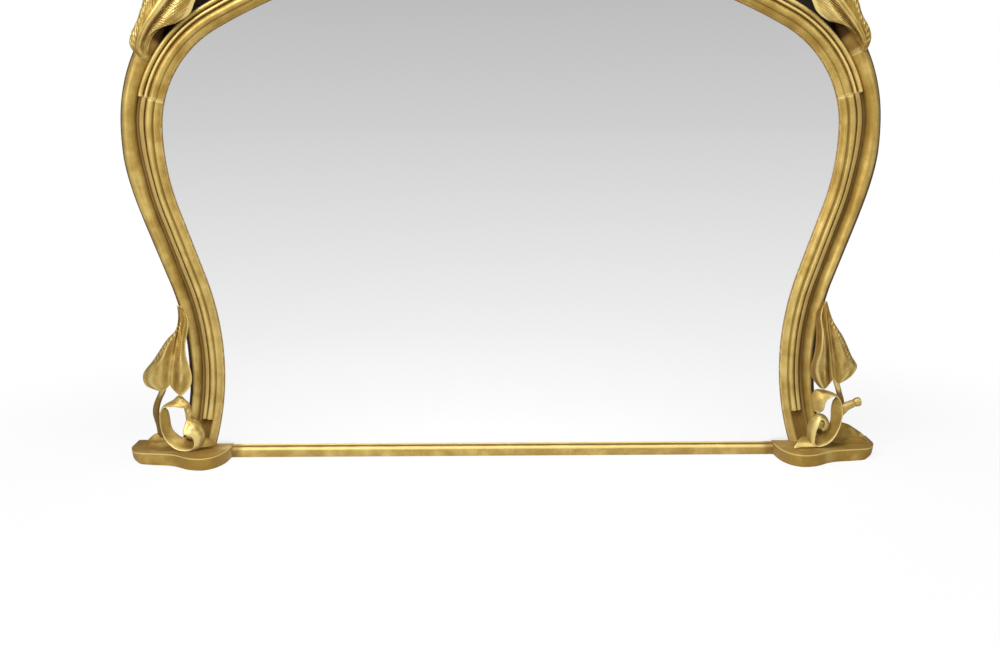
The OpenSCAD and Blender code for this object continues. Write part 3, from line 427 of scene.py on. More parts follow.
def draw_straight(bm, ring, way, steps):
    for _ in range(steps):
        edges = [g for g in ring if isinstance(g, bmesh.types.BMEdge)]
        grown = bmesh.ops.extrude_edge_only(bm, edges=edges)["geom"]
        verts = [g for g in grown if isinstance(g, bmesh.types.BMVert)]
        bmesh.ops.translate(bm, vec=(*(way / steps), 0), verts=verts)
        ring = [g for g in grown if not isinstance(g, bmesh.types.BMFace)]
    return ring


def fill_holes(bm):
    bmesh.ops.holes_fill(bm, edges=[e for e in bm.edges if e.is_boundary], sides=0)


def close_ends(bm, verts=None, dist=0.002):
    """Points that came together are merged, and every open end gets a face."""
    bmesh.ops.remove_doubles(bm, verts=verts or bm.verts, dist=dist)
    fill_holes(bm)


def cut_level(bm, height):
    bmesh.ops.bisect_plane(bm, geom=bm.verts[:] + bm.edges[:] + bm.faces[:], dist=0.001,
                           plane_co=(0, height, 0), plane_no=(0, -1, 0), clear_outer=True)


def map_moulding(bm, section):
    """UV along the run and across the section, and a 'sight' number that is 1 at the sight edge."""
    grown = np.cumsum([0] + [math.dist(section[i], section[i + 1]) for i in range(len(section) - 1)])
    points = np.array(section)
    layer, sight = bm.loops.layers.uv.new("run"), bm.verts.layers.float_vector.new("sight")
    where = {}
    for v in bm.verts:
        run, out = edge_place(v.co.x, v.co.y)
        near = int(np.argmin(((points - (out, v.co.z)) ** 2).sum(1)))
        where[v] = (run / 1000, grown[near] / 1000)
        v[sight] = (ease(1 - out / 5.0) if v.co.z > 35.5 else 1.0, 0, 0)
    for face in bm.faces:
        for loop in face.loops:
            loop[layer].uv = where[loop.vert]


def waver(bm, amount, low=40.0):
    """The unevenness of hand work: points drift a little on slow noise."""
    for v in bm.verts:
        if v.co.z > low:
            v.co.z += amount * noise.noise(Vector((v.co.x * 0.021, v.co.y * 0.021, v.co.z * 0.06)))


# %% [markdown]
# The stiles. Near the foot the bead and the flat strip stop square, as the photograph shows,
# and the ground runs on below them. Two rings of the sweep lie close together there, and the
# points of bead and strip below them are pushed down to the ground. Towards the joint on the shoulder the
# stile grows as broad as the arch.

# %% The two stiles
STOP_Z = {False: 90.0, True: 79.0}


def widening(run):
    """How much wider the stile grows towards the joint, where the arch is 6 mm broader."""
    return 6 * ease((run - run_to(-13)) / (run_to(7) - run_to(-13)))


def stile_mesh(stop_z):
    bm = bmesh.new()
    low, stop = -FOOT_R * math.radians(18.5), -FOOT_R * math.asin((WAIST_Z - stop_z) / (FOOT_R - 33))
    ring = lay_section(bm, stile_section, low)
    ring = spin_on(bm, ring, foot_c, -math.degrees((stop - low) / FOOT_R), 18)
    ring = spin_on(bm, ring, foot_c, -0.12, 1)
    ring = spin_on(bm, ring, foot_c, -math.degrees(-stop / FOOT_R) + 0.12, 16)
    ring = spin_on(bm, ring, waist_c, -LEAN, 32)
    ring = draw_straight(bm, ring, STRAIGHT * rise, 22)
    ring = spin_on(bm, ring, belly_c, LEAN, 28)
    spin_on(bm, ring, shoulder_c, JOINT_TURN, 12)
    for v in bm.verts:
        run, out = edge_place(v.co.x, v.co.y)
        if run < stop + 0.3 and 16.5 < out < 41 and v.co.z > 43:
            v.co.z = 42.4 + 0.5 * noise.noise(v.co * 0.08)
    waver(bm, 0.5)
    cut_level(bm, PLINTH_H)
    close_ends(bm)
    map_moulding(bm, stile_section)
    for v in bm.verts:
        run, out = edge_place(v.co.x, v.co.y)
        if run > marks[1] and out > 15:
            v.co.x, v.co.y = edge_point(run, out + widening(run) * ease((out - 15) / 22))
    return bm


def stile_shade(co):
    """Painted shade on the strip, more so higher up, in the groove outside it, on the ground and near the
    foot.
    """
    run, out = edge_place(co.x, co.y)
    strip = (0.22 + 0.3 * ease((run + 120) / 160)) * ease((out - 28.6) / 1.5)
    groove = 0.3 * ease((48 - co.z) / 6) * (out > 36)
    ground = 0.64 * (17 < out < 43) * ease((STOP_Z[co.x < 0] - co.y) / 4)
    near_foot = 0.12 * ease((40 - run) / 90) * (out < 29)
    return max(strip + groove, ground) + near_foot


for left, hand in SIDES:
    hang(stile_mesh(STOP_Z[left]), f"{hand}_stile_carved", moulding_gilt, [f"{hand}_stile"], left=left,
         crease=42, passes=24, depth=2.4, painted_shade=stile_shade)

# %% [markdown]
# Above the scarf joint on the shoulder the section changes: a fat torus takes the place of the
# bead, and a bright ridge runs along the outer edge. The photograph shows the step between the
# two sections, where stile and arch meet.

# %% The two arches
arch_section = lip + round_over((21.6, 43.6), 8.6, 152, 20, 18)
arch_section += [(30.1, 46.0), (30.7, 45.8), (31.2, 46.6), (31.8, 48.4), (32.5, 50.2), (33.4, 51.2),
                 (34.6, 51.6), (36.0, 51.5), (37.2, 51.0), (38.0, 49.7), (38.8, 48.1), (39.6, 47.2),
                 (40.3, 47.6), (40.8, 49.0)]
arch_section += round_over((45.4, 49.5), 4.5, 168, 4, 12) + [(50, 48), (50, 30), (50, BACK)]


def arch_mesh():
    bm = bmesh.new()
    ring = lay_section(bm, arch_section, run_to(JOINT_TURN))
    ring = spin_on(bm, ring, shoulder_c, SHOULDER_TURN - JOINT_TURN, 44)
    spin_on(bm, ring, crown_c, 90 - SHOULDER_TURN, 70)
    waver(bm, 0.5)
    close_ends(bm)
    map_moulding(bm, arch_section)
    return bm


for left, hand in SIDES:
    hang(arch_mesh(), f"{hand}_arch_carved", moulding_gilt, [f"{hand}_arch"], left=left, crease=42,
         passes=24, depth=3.0)

# %% [markdown]
# The stems and all the ornament start as a sheet of squares from `create_grid`, bent into
# place by a function, as a strip of veneer is bent round a form. If the function brings its
# two long sides together they are merged, and the sheet is a closed skin.

# %% Bending a sheet
def bent_sheet(bm, along, across, place, long=0.1, wide=0.05):
    """A grid whose point (a, f), both from 0 to 1, goes to place(a, f). Its UV map is long by wide metres."""
    grid = bmesh.ops.create_grid(bm, x_segments=along, y_segments=across, size=1.0, calc_uvs=False)
    layer = bm.loops.layers.uv.get("run") or bm.loops.layers.uv.new("run")
    share = {v: (v.co.x / 2 + 0.5, v.co.y / 2 + 0.5) for v in grid["verts"]}
    for v in grid["verts"]:
        for loop in v.link_loops:
            loop[layer].uv = (share[v][0] * long, share[v][1] * wide)
    for v, (a, f) in share.items():
        v.co = place(a, f)
    return grid["verts"]


# %% [markdown]
# The outer stem is a rounded band. Its width changes along the run, so the sheet takes its two
# edges from functions of the place along the sight edge, and its crown from the share across.

# %% The outer stems
STEM_IN, SIDE_OUT, BELLY_OUT = 44.3, 73, 80
ARCH_W, CREST_W, TIP_W = 50, 36, 24
BUD_NECK, CREST_IN = 11, 150.3


def crown_of(f):
    return math.sin(math.pi * f ** 1.15) ** 0.6 if 0 < f < 1 else 0.0


def stem_rise(turn):
    return 58 * ease((turn - 34) / (SHOULDER_TURN + 5 - 34)) + 42 * ease((turn - 76) / 14)


def stem_inner(run):
    turn = turn_at(run)
    return STEM_IN + widening(run) + stem_rise(turn)


def stem_outer(run):
    turn = turn_at(run)
    if run < marks[1]:
        return 70 + 3 * min(max((run - marks[0]) / STRAIGHT, 0), 1) - 2 * ease(-run / 60)
    if turn < 0:
        return mix(SIDE_OUT, BELLY_OUT, ease((turn + LEAN) / (LEAN - 4)))
    if turn < STEM_SPLIT:
        return mix(BELLY_OUT, ARCH_W + FIT + CREST_W + 2, (turn / STEM_SPLIT) ** 1.5)
    width = mix(CREST_W, TIP_W, ease((turn - STEM_SPLIT) / (90 - STEM_SPLIT)))
    return stem_inner(run) + width + 2 * ease((76 - turn) / 20)


def stem_mesh(start, end, along):
    bm = bmesh.new()

    def place(a, f):
        run = mix(start, end, a)
        inner, outer = stem_inner(run), stem_outer(run)
        if f < 0.12:
            return Vector((*edge_point(run, inner), mix(BACK, STEM_EDGE - 0.6, f / 0.12)))
        if f > 0.88:
            return Vector((*edge_point(run, outer), mix(STEM_EDGE - 0.6, BACK, (f - 0.88) / 0.12)))
        g = (f - 0.12) / 0.76
        h = 0.5 - 0.5 * math.cos(math.pi * g)
        p = edge_point(run, mix(inner, outer, h))
        height = mix(STEM_EDGE, STEM_TOP - 0.2, crown_of(h))
        height += 0.5 * noise.noise(Vector((p.x * 0.02, p.y * 0.02, 4 * h))) - 0.25
        return Vector((*p, height))

    bent_sheet(bm, along, 50, place, (end - start) / 1000, 0.09)
    bmesh.ops.bridge_loops(bm, edges=[e for e in bm.edges if e.is_boundary and
                                      all(abs(v.co.z - BACK) < 0.01 for v in e.verts)])
    return bm


def stem_shade(co):
    """Painted shade on the steep sides and on the stretch under the leaf."""
    run, out = edge_place(co.x, co.y)
    past = turn_at(max(run, 0)) - STEM_SPLIT
    under_leaf = 0.7 * ease((past + 2.5) / 4) + 0.28 * ease((past - 5) / 4) if run > 0 else 0.0
    outer_wall = ease((STEM_EDGE + 2.5 + 5 * ease((60 - run) / 90) - co.z) / 6)
    broad = mix(mix(6, 6 if co.x < 0 else 9, ease((marks[2] - run) / 100)), 15, ease((260 - run) / 330))
    outer_wall = max(outer_wall, ease((broad - stem_outer(run) + out) / broad * 2))
    inner_wall = 0.6 * ease((STEM_EDGE + 7 - co.z) / 9)
    return max(under_leaf, outer_wall if out > 60 else inner_wall)


def side_stem_mesh():
    bm = stem_mesh(-FOOT_R * math.radians(19.5), run_to(STEM_SPLIT), 150)
    cut_level(bm, PLINTH_H)
    close_ends(bm)
    return bm


def crest_stem_mesh():
    beside_bud = math.degrees(math.asin((BUD_NECK + FIT) / (crown_r + CREST_IN)))
    bm = stem_mesh(run_to(STEM_SPLIT + 0.05), run_to(90 - beside_bud), 130)
    close_ends(bm)
    return bm


for member, drawn in (("side_stem", side_stem_mesh), ("crest_stem", crest_stem_mesh)):
    for left, hand in SIDES:
        hang(drawn(), f"{hand}_{member}_carved", stem_gilt, [f"{hand}_{member}"], left=left,
             painted_shade=stem_shade, crease=50)

# %% [markdown]
# Plinths and bottom rail are plain joinery, and their solids already have the right form. A
# copy of the solid is merged into whole faces, and its arrises are eased as sandpaper and
# gesso would ease them. Only a plinth's far end leaves the solid: it is drawn in towards the
# shelf and towards the wall, as the photograph shows it.

# %% Plinths and bottom rail
FAR_END = 690


def copy_of(node):
    bm = bmesh.new()
    bm.from_mesh(frame["nodes"][node].data)
    for layer in list(bm.loops.layers.uv.values()):
        bm.loops.layers.uv.remove(layer)
    bmesh.ops.transform(bm, matrix=STAND_UP.inverted(), verts=bm.verts)
    bmesh.ops.remove_doubles(bm, verts=bm.verts, dist=0.01)
    bmesh.ops.dissolve_limit(bm, angle_limit=math.radians(0.4), verts=bm.verts, edges=bm.edges)
    return bm


def map_plain(bm):
    layer = bm.loops.layers.uv.get("run") or bm.loops.layers.uv.new("run")
    for face in bm.faces:
        for loop in face.loops:
            loop[layer].uv = (loop.vert.co.x / 1000, (loop.vert.co.y + loop.vert.co.z) / 1000)


def ease_edges(bm, edges, radius, steps):
    bmesh.ops.bevel(bm, geom=edges, offset=radius, offset_type="OFFSET", affect="EDGES", segments=steps,
                    profile=0.5, material=-1, clamp_overlap=True)


def eased_plinth(node):
    bm = copy_of(node)

    def tall(face):
        heights = [v.co.y for v in face.verts]
        return max(heights) - min(heights) > 20 and abs(face.normal.y) < 0.1

    rims = [e for e in bm.edges
            if all(abs(v.co.y - PLINTH_H) < 0.05 or abs(v.co.y) < 0.05 for v in e.verts)
            and abs(e.verts[0].co.y - e.verts[1].co.y) < 0.05
            and any(tall(f) for f in e.link_faces) and min(v.co.z for v in e.verts) > BEFORE_GLASS]
    ease_edges(bm, rims, 1.5, 4)
    upright = [e for e in bm.edges if abs(e.verts[0].co.y - e.verts[1].co.y) > 18]
    bmesh.ops.subdivide_edges(bm, edges=upright, cuts=7, use_grid_fill=True)
    for v in bm.verts:
        far = abs(v.co.x) - FAR_END
        if far > 0 and v.co.z > 1:
            inset = 4 * (1 - v.co.y / PLINTH_H) + 6 * ease((6 - v.co.y) / 6)
            inset = inset * ease(far / 45) + 11 * max(1 - v.co.z / 24, 0) ** 2 * ease(far / 60)
            v.co.x -= math.copysign(inset, v.co.x)
    map_plain(bm)
    return bm


def eased_rail():
    bm = copy_of("bottom_rail")

    def rail_length():
        return [e for e in bm.edges if abs(e.verts[0].co.x - e.verts[1].co.x) > 900]

    sharp = [e for e in rail_length() if len(e.link_faces) == 2 and e.calc_face_angle() > 0.6
             and e.verts[0].co.z > BEFORE_GLASS]
    ease_edges(bm, sharp, 0.5, 2)
    bmesh.ops.subdivide_edges(bm, edges=rail_length(), cuts=90)
    for v in bm.verts:
        if v.co.z > BEFORE_GLASS and v.co.y > 1:
            v.co.y += 0.35 * noise.noise(Vector((v.co.x * 0.013, 3.0, 0.0)))
    map_plain(bm)
    return bm


def plinth_shade(co):
    """Painted shade: the tops browner towards the frame, the faces towards the shelf and round the far
    corner.
    """
    if co.y > PLINTH_H - 1.0:
        return 0.15 + 0.3 * ease((60 - co.z) / 30)
    face = 0.03 if co.x < 0 else 0.12
    return face + 0.14 * ease((8 - co.y) / 8) + 0.3 * ease((abs(co.x) - 718) / 35)


def plinth_highlight(co):
    """The top arris, paled as a painted highlight line."""
    return 1.0 if PLINTH_H - 1.2 < co.y < PLINTH_H - 0.05 else 0.0


def rail_shade(co):
    """Painted shade in the step above the rail's nose; the rail is darker at its joints to the plinths too.
    """
    return max(0.8 * (19.4 < co.y < 22.3 and 46.5 < co.z < 49.8), 0.6 * ease((abs(co.x) - 531) / 5))


def rail_highlight(co):
    # Painted highlight: the upper face of the rail's nose and its top are paled, the rest a little.
    return 0.5 if 14.5 < co.y < 19.6 and co.z > 50 or co.y > 22.2 else 0.2


for _, hand in SIDES:
    hang(eased_plinth(f"{hand}_plinth"), f"{hand}_plinth_eased", base_gilt, [f"{hand}_plinth"], crease=35,
         passes=0, painted_shade=plinth_shade, wear_and_highlight=plinth_highlight)
hang(eased_rail(), "bottom_rail_eased", base_gilt, ["bottom_rail"], crease=35, passes=0, painted_shade=rail_shade,
     wear_and_highlight=rail_highlight)

# %% [markdown]
# The photograph's mirror shows an even grey and none of its own base. So the base pieces are
# left out of reflections, which changes nothing on the pieces themselves.

# %% A calm mirror
def out_of_reflections(*names):
    for name in names:
        pieces[name].visible_glossy = False


out_of_reflections("right_plinth_eased", "left_plinth_eased", "bottom_rail_eased")

# %% [markdown]
# A carved leaf is a folded blade: a rib, two lobes that swell between rib and edge, and veins
# cut with a small gouge. Rib and edges are curves through a few measured points, and the blade
# is one sheet bent over them. The veins are real cuts here, a few tenths of a millimetre deep,
# because the light has to catch them from every side.

# %% Leaves
def through(points, t):
    """A smooth curve through the points, for t from 0 to 1."""
    p, n = points, len(points) - 1
    x = min(max(t, 0.0) * n, n - 1e-4)
    i = int(x)
    t = x - i
    a, b, c, d = (np.array(p[min(max(k, 0), n)], float) for k in (i - 1, i, i + 1, i + 2))
    square, cube = 2 * a - 5 * b + 4 * c - d, 3 * b - a - 3 * c + d
    return 0.5 * (2 * b + (c - a) * t + square * t * t + cube * t ** 3)


def leaf_mesh(rib, edge_a, edge_b, bow, swell, rib_rise, rib_wide, dips, vein, near, pitch, curl,
              seat=None, thick=6.0, slant=0.9, wall=(0.0, 0.0), pecks=0.0, along=220):
    bm = bmesh.new()
    length = sum(math.dist(rib[i], rib[i + 1]) for i in range(len(rib) - 1))

    def front(t, f):
        q, side = abs(f), 0 if f < 0 else 1
        middle, rim = through(rib, t), through((edge_a, edge_b)[side], t)
        out = q * math.dist(middle, rim)
        grow = ease(out / q / 14) if q else ease(math.dist(middle, rim) / 14)
        full = swell * math.sin(math.pi * mix(0.03, 0.97, t)) ** 0.7
        bulge = np.array([bow[0] * t ** 4, bow[1] * t ** 4, full])
        p = middle + (rim - middle) * q + math.sin(math.pi * q) * bulge
        broad = rib_wide * mix(0.4, 1.1, t)
        p[2] += rib_rise * grow * math.exp(-((out / broad) ** 4))
        p[2] -= dips[side] * grow * math.exp(-(((out - 1.7 * broad - 2) / (0.9 * broad + 2)) ** 2))
        drift = 1.5 * noise.noise(Vector((9 * t, 3 * f, 1)))
        wave = math.sin(math.pi * (t * length + slant * out + drift) / pitch)
        share = mix(near[side], 1 - 0.6 * near[side], ease((q - 0.35) / 0.4))
        cut = vein * grow * ease((out - broad) / 6) * share
        cut *= 0.65 + 1.1 * noise.noise(Vector((14 * t, 5 * f, 4)))
        p[2] += 0.6 * grow * noise.noise(Vector((11 * t, 5 * f, 9)))
        if side == 0:
            cut += pecks * ease((q - 0.6) / 0.2) * ease((t - 0.14) / 0.1) * ease((0.62 - t) / 0.15) * grow
        p[2] += cut * (abs(wave) ** 0.6 - 0.6) * 1.8
        p[2] += curl[side] * ease((q - 0.72) / 0.28) * grow
        return p

    def place(t, f):
        g = mix(-1, 1, 1 - abs(1 - 2 * f))
        if f <= 0.5 or abs(g) > 0.9999 or not 0.0001 < t < 0.9999:
            return Vector(front(t, g))
        p = front(t, g * 0.985)
        p[2] = seat if seat is not None else p[2] - thick * (0.42 + 0.58 * (1 - abs(g) ** 3))
        reach = ease((g - 0.2) / 0.5) * math.sin(math.pi * mix(0.1, 0.93, t)) ** 0.6
        reach *= min((1 - g) / 0.17, 1)
        p[0], p[2] = p[0] + wall[0] * reach * (1 + 0.8 * ease((t - 0.6) / 0.25)), p[2] - wall[1] * reach
        return Vector(p)

    bent_sheet(bm, along, 96, place, length / 1000, 0.12)
    bmesh.ops.remove_doubles(bm, verts=bm.verts, dist=0.001)
    return bm


def on_shoulder(points):
    return [(belly_x + p[0], belly_c.y + p[1], LEAF_SEAT + p[2]) for p in points]


def at_foot(points):
    return [(FOOT_X + p[0], PLINTH_H + p[1], BACK + p[2], *p[3:]) for p in points]


def on_crown(points):
    return [(p[0], crown_z + CREST_IN + p[1], LEAF_SEAT + p[2]) for p in points]


def rim_at(rim, height):
    """Where a leaf's edge, listed upwards, lies at a height: its x and its depth."""
    heights = [p[1] for p in rim]
    return (float(np.interp(height, heights, [p[k] for p in rim])) for k in (0, 2))


def stroked(outer, low, high, pitch, wide, strength):
    """Short strokes of the gouge along a leaf's outer edge, paled as painted highlights, between two heights.
    """
    edge = sorted(outer, key=lambda p: p[1])

    def wear_and_highlight(co):
        rim_x, rim_z = rim_at(edge, co.y)
        inside = rim_x - abs(co.x)
        stroke = math.sin(2 * math.pi * (0.8 * co.y + 0.7 * inside) / pitch)
        stroke += 0.8 * noise.noise(co * 0.12)
        band = ease((inside - 1.5) / 1.5) * ease((wide - inside) / 3) * (co.z > rim_z - 2)
        return strength * ease(stroke - 0.1) * band * ease((co.y - low) / 10) * ease((high - co.y) / 10)
    return wear_and_highlight


hang_rib = {True: [(25, 140, 4), (31, 158, 11), (20, 190, 15), (-8, 228, 17), (-36, 262, 15),
                   (-62, 290, 9)],
            False: [(38, 147, 4), (35, 164, 11), (20, 192, 15), (-8, 228, 17), (-36, 262, 15),
                    (-62, 290, 9)]}
hang_outer = {True: [(32, 140, 4), (48, 160, 7), (47, 182, 9), (32, 212, 9), (19, 248, 9), (9, 280, 9),
                     (-5, 308, 8), (-26, 328, 6), (-46, 332, 5)],
              False: [(43, 146, 4), (50, 165, 7), (46, 188, 9), (31, 214, 9), (20, 248, 9), (9, 280, 9),
                      (-5, 308, 8), (-26, 328, 6), (-46, 332, 5)]}
hang_inner = {True: [(18, 141, 4), (8, 173, 6), (-12, 196, 8), (-44, 206, 9), (-70, 222, 9), (-84, 250, 9),
                     (-106, 274, 8), (-130, 292, 6), (-134, 308, 5)],
              False: [(33, 147, 4), (16, 176, 6), (-8, 196, 8), (-36, 203, 9), (-58, 220, 9), (-72, 248, 9),
                      (-96, 272, 8), (-122, 290, 6), (-130, 306, 5)]}
for left, hand in SIDES[::-1]:
    rib, inner, outer = (on_shoulder(route[left]) for route in (hang_rib, hang_inner, hang_outer))
    leaf = leaf_mesh(rib, inner, outer, (-8, 10), 5.4, seat=LEAF_SEAT, rib_rise=2.0, rib_wide=11.0,
                     dips=(3.4, 1.8), vein=1.5, near=(1.0, 0.3), pitch=8.0, slant=-0.8, curl=(-1.0, -1.0))
    strokes = stroked(outer, belly_c.y + 156, belly_c.y + 325, 9, 12, 0.9)
    hang(leaf, f"{hand}_shoulder_leaf_carved", carved_gilt, [f"{hand}_shoulder_leaf"], left=left,
         passes=14, wear_and_highlight=strokes)

crown_rib = [(224, -56, 4), (172, -28, 10), (120, -6, 13), (74, 8, 13), (36, 12, 9)]
crown_upper = [(226, -54, 4), (196, -18, 7), (156, 8, 8), (116, 28, 8), (80, 37, 8), (52, 35, 7),
               (35, 25, 5)]
crown_lower = [(222, -58, 4), (190, -59, 7), (150, -47, 8), (112, -36, 8), (76, -26, 8), (50, -14, 7),
               (34, -1, 5)]
for left, hand in SIDES[::-1]:
    leaf = leaf_mesh(on_crown(crown_rib), on_crown(crown_lower), on_crown(crown_upper), (-2, 0), 5.4,
                     seat=LEAF_SEAT, rib_rise=3.2, rib_wide=7.5, dips=(2.4, 1.6), vein=1.3,
                     near=(1.0, 0.3), pitch=8.0, slant=-0.8, curl=(-1.0, -1.0))
    hang(leaf, f"{hand}_crown_leaf_carved", carved_gilt, [f"{hand}_crown_leaf"], left=left, passes=14)

# %% [markdown]
# The leaves' stalks, the left tendril's knuckle and the right one's cut shoot are rods: a route
# of stations, each with its place, half width and half thickness. Their section is a little
# squarer than an oval, as a carver leaves it. Each tendril is then fused into one skin.

# %% Rods and fused skins
def rod(bm, route, along, around):
    def place(a, f):
        p = [float(c) for c in through(route, a)]
        way = Vector(through(route, min(a + 0.008, 1))[:3]) - Vector(through(route, max(a - 0.008, 0))[:3])
        way.normalize()
        depth = (Vector((0, 0, 1)) - way.z * way).normalized()
        side = depth.cross(way)
        turn = 2 * math.pi * f
        c, s = math.cos(turn), math.sin(turn)
        wide = p[3] * math.copysign(abs(c) ** 0.85, c)
        deep = p[4] * math.copysign(abs(s) ** 0.85, s)
        return Vector(p[:3]) + wide * depth + deep * side

    made = bent_sheet(bm, along, around, place, 0.2, 0.03)
    close_ends(bm, made, 0.001)


def lump(bm, centre, radii):
    """A rounded lump to be fused in."""
    at = Vector(at_foot([centre])[0])
    bmesh.ops.create_uvsphere(bm, u_segments=32, v_segments=20, radius=1.0,
                              matrix=Matrix.Translation(at) @ Matrix.Diagonal((*radii, 1)))


def fused(bm, voxel=0.7, rounds=12):
    """One skin round shapes that run into each other, as carved from one block of wood."""
    bmesh.ops.recalc_face_normals(bm, faces=bm.faces)
    mesh = bpy.data.meshes.new("block")
    bm.to_mesh(mesh)
    bm.free()
    block = bpy.data.objects.new("block", mesh)
    bpy.context.scene.collection.objects.link(block)
    skin = block.modifiers.new("skin", "REMESH")
    skin.mode, skin.voxel_size = "VOXEL", voxel
    carved = bmesh.new()
    carved.from_mesh(block.evaluated_get(bpy.context.evaluated_depsgraph_get()).to_mesh())
    bpy.data.objects.remove(block)
    for _ in range(rounds):
        bmesh.ops.smooth_vert(carved, verts=carved.verts, factor=0.5, use_axis_x=True, use_axis_y=True,
                              use_axis_z=True)
    return carved


def stand_flat(bm):
    cut_level(bm, PLINTH_H)
    fill_holes(bm)
    map_plain(bm)
    return bm


left_rib = [(10, 291, 55), (12, 253, 58), (20, 214, 66), (26, 175, 74), (31, 134, 78)]
left_outer = [(15, 292, 55), (14, 264, 56), (21, 241, 57), (39, 222, 59), (65, 184, 65), (86, 156, 68),
              (82, 132, 71), (56, 121, 74)]
left_inner = [(4, 291, 55), (-8, 262, 57), (-4, 232, 61), (-1, 211, 64), (-3, 188, 66), (-12, 156, 69),
              (-10, 132, 73), (8, 111, 76)]
left_stalk = [(36, 152, 68, 5, 5), (49, 120, 65, 5, 6), (57, 104, 63, 5, 6), (63, 89, 61, 5, 6.5),
              (66, 74, 58, 5.5, 6.5), (65, 60, 53, 6, 6.5), (63, 45, 47, 6, 6.5), (62, 24.3, 40, 6, 7)]
right_rib = [(15, 293, 55), (18, 255, 60), (22, 216, 67), (26, 176, 73), (30, 140, 76)]
right_outer = [(17, 292, 55), (30, 254, 56), (51, 220, 61), (67, 184, 66), (78, 162, 70), (66, 142, 73),
               (44, 128, 74)]
right_inner = [(12, 291, 55), (3, 264, 62), (5, 232, 72), (1, 199, 84), (-9, 166, 90), (-5, 141, 88),
               (7, 119, 86)]
right_stalk = [(29, 154, 67, 5, 5), (35, 137, 67, 5, 5.5), (40, 122, 66, 5, 5.5), (45, 106, 63, 5, 5.5),
               (50, 89, 60, 5, 6), (50, 73, 55, 5.5, 6.5), (48, 54, 48, 6, 6.5), (46, 28, 40, 6, 7)]

# %% Foot leaves
right_rim = at_foot(right_inner)[::-1]


def stalk_shade(co):
    """Painted shade on the stalk, which stands in the leaf's shade, on the leaf's outermost edge, and a
    little over the whole leaf.
    """
    far = abs(co.x) - FOOT_X - (82 if co.x < 0 else 74)
    stalk = ease((PLINTH_H + 138 - co.y) / 10) * ease((BACK + 71 - co.z) / 3)
    return max(0.15, 0.84 * stalk, 0.8 * ease(far / 4))


def wall_shade(co):
    """Painted shade as on the stalk, and on the wall under the right leaf's rolled edge."""
    rim_x, rim_z = rim_at(right_rim, co.y)
    return max(stalk_shade(co), 0.8 * ease((rim_z - 1.5 - co.z) / 3) * (co.x < rim_x + 6))


foot_leaf = leaf_mesh(at_foot(left_rib), at_foot(left_outer), at_foot(left_inner), (0, -5), 7.5,
                      rib_rise=1.2, rib_wide=6.5, dips=(1.0, 2.6), vein=0.34, near=(0.2, 0.5), pitch=5.6,
                      curl=(-3.0, 2.6), pecks=1.2)
rod(foot_leaf, at_foot(left_stalk), 60, 24)
hang(foot_leaf, "left_foot_leaf_carved", carved_gilt, ["left_foot_leaf"], left=True, passes=16,
     painted_shade=stalk_shade, wear_and_highlight=stroked(at_foot(left_outer[:6]), PLINTH_H + 176, PLINTH_H + 262, 6, 11, 1.0))
foot_leaf = leaf_mesh(at_foot(right_rib), at_foot(right_outer), at_foot(right_inner), (0, -5), 5.6,
                      rib_rise=1.2, rib_wide=6.0, dips=(1.2, 4.6), vein=0.38, near=(0.2, 0.9), pitch=5.8,
                      curl=(-3.0, 2.4), wall=(-12, 14), pecks=0.4)
rod(foot_leaf, at_foot(right_stalk), 60, 24)
hang(foot_leaf, "right_foot_leaf_carved", carved_gilt, ["right_foot_leaf"], passes=16, painted_shade=wall_shade,
     wear_and_highlight=stroked(at_foot(right_outer[:5]), PLINTH_H + 170, PLINTH_H + 262, 6, 11, 0.7))

# %% [markdown]
# The tendrils are the liveliest carving: one broad ribbon that turns over at the top, shows its
# hollow side down the flank and rolls up into a shell at its end. Such a ribbon is told best by
# its two edges, the front one and the back one. The strip between them bulges outwards, and
# where the edges cross over, the other side of the ribbon comes into view. The ribbons of one
# tendril then get a single skin with a voxel Remesh, as if cut from one block.

# %% Tendrils
def scroll(bm, front, back, along, around):
    """A ribbon between two edges. The front one's rows also hold its bulge and half thickness."""
    def place(a, f):
        turn, near, far = 2 * math.pi * f, through(front, a), through(back, a)
        before, after = max(a - 0.004, 0), min(a + 0.004, 1)
        ahead = through(front, after)[:3] + through(back, after)
        way = ahead - through(front, before)[:3] - through(back, before)
        half = Vector(near[:3] - far) / 2
        out = half.cross(Vector(way)).normalized()
        c, s = math.cos(turn), math.sin(turn)
        return (Vector(near[:3] + far) / 2 + half * math.copysign(abs(c) ** 0.8, c)
                + out * float(near[4] * math.copysign(abs(s) ** 0.8, s) + near[3] * (1 - c * c)))

    made = bent_sheet(bm, along, around, place, 0.3, 0.06)
    close_ends(bm, made, 0.001)


left_front = [(-1, 72, 80, 1, 3), (3, 82, 82, 2, 3.2), (3, 88, 86, 3, 2.8), (10, 89, 88, 3, 2.5),
              (15, 90, 88, 2.5, 2.3), (20, 91, 88, 2, 2.2), (28, 91, 87, 2, 2.2), (37, 90, 85, 1.5, 2.3),
              (46, 88, 84, 1, 2.4), (52, 79, 85, 1.5, 2.5), (53, 68, 86, 2, 2.5), (52, 53, 87, 2.5, 2.5),
              (48, 36, 89, 3, 2.5), (38, 19, 92, 3, 2.5), (23, 7, 95, 3, 2.5), (7, 2, 96, 3, 2.5),
              (-9, 4, 96, 4, 2.6), (-16, 14, 96, 6, 2.6), (-16, 22, 96, 8, 2.6), (-13, 30, 97, 10, 2.6),
              (-3, 34, 97, 11, 2.6), (6, 37, 95, 10, 2.6), (4, 50, 91, 8, 2.8), (1, 61, 85, 4, 3),
              (-1, 68, 80, 2, 3)]
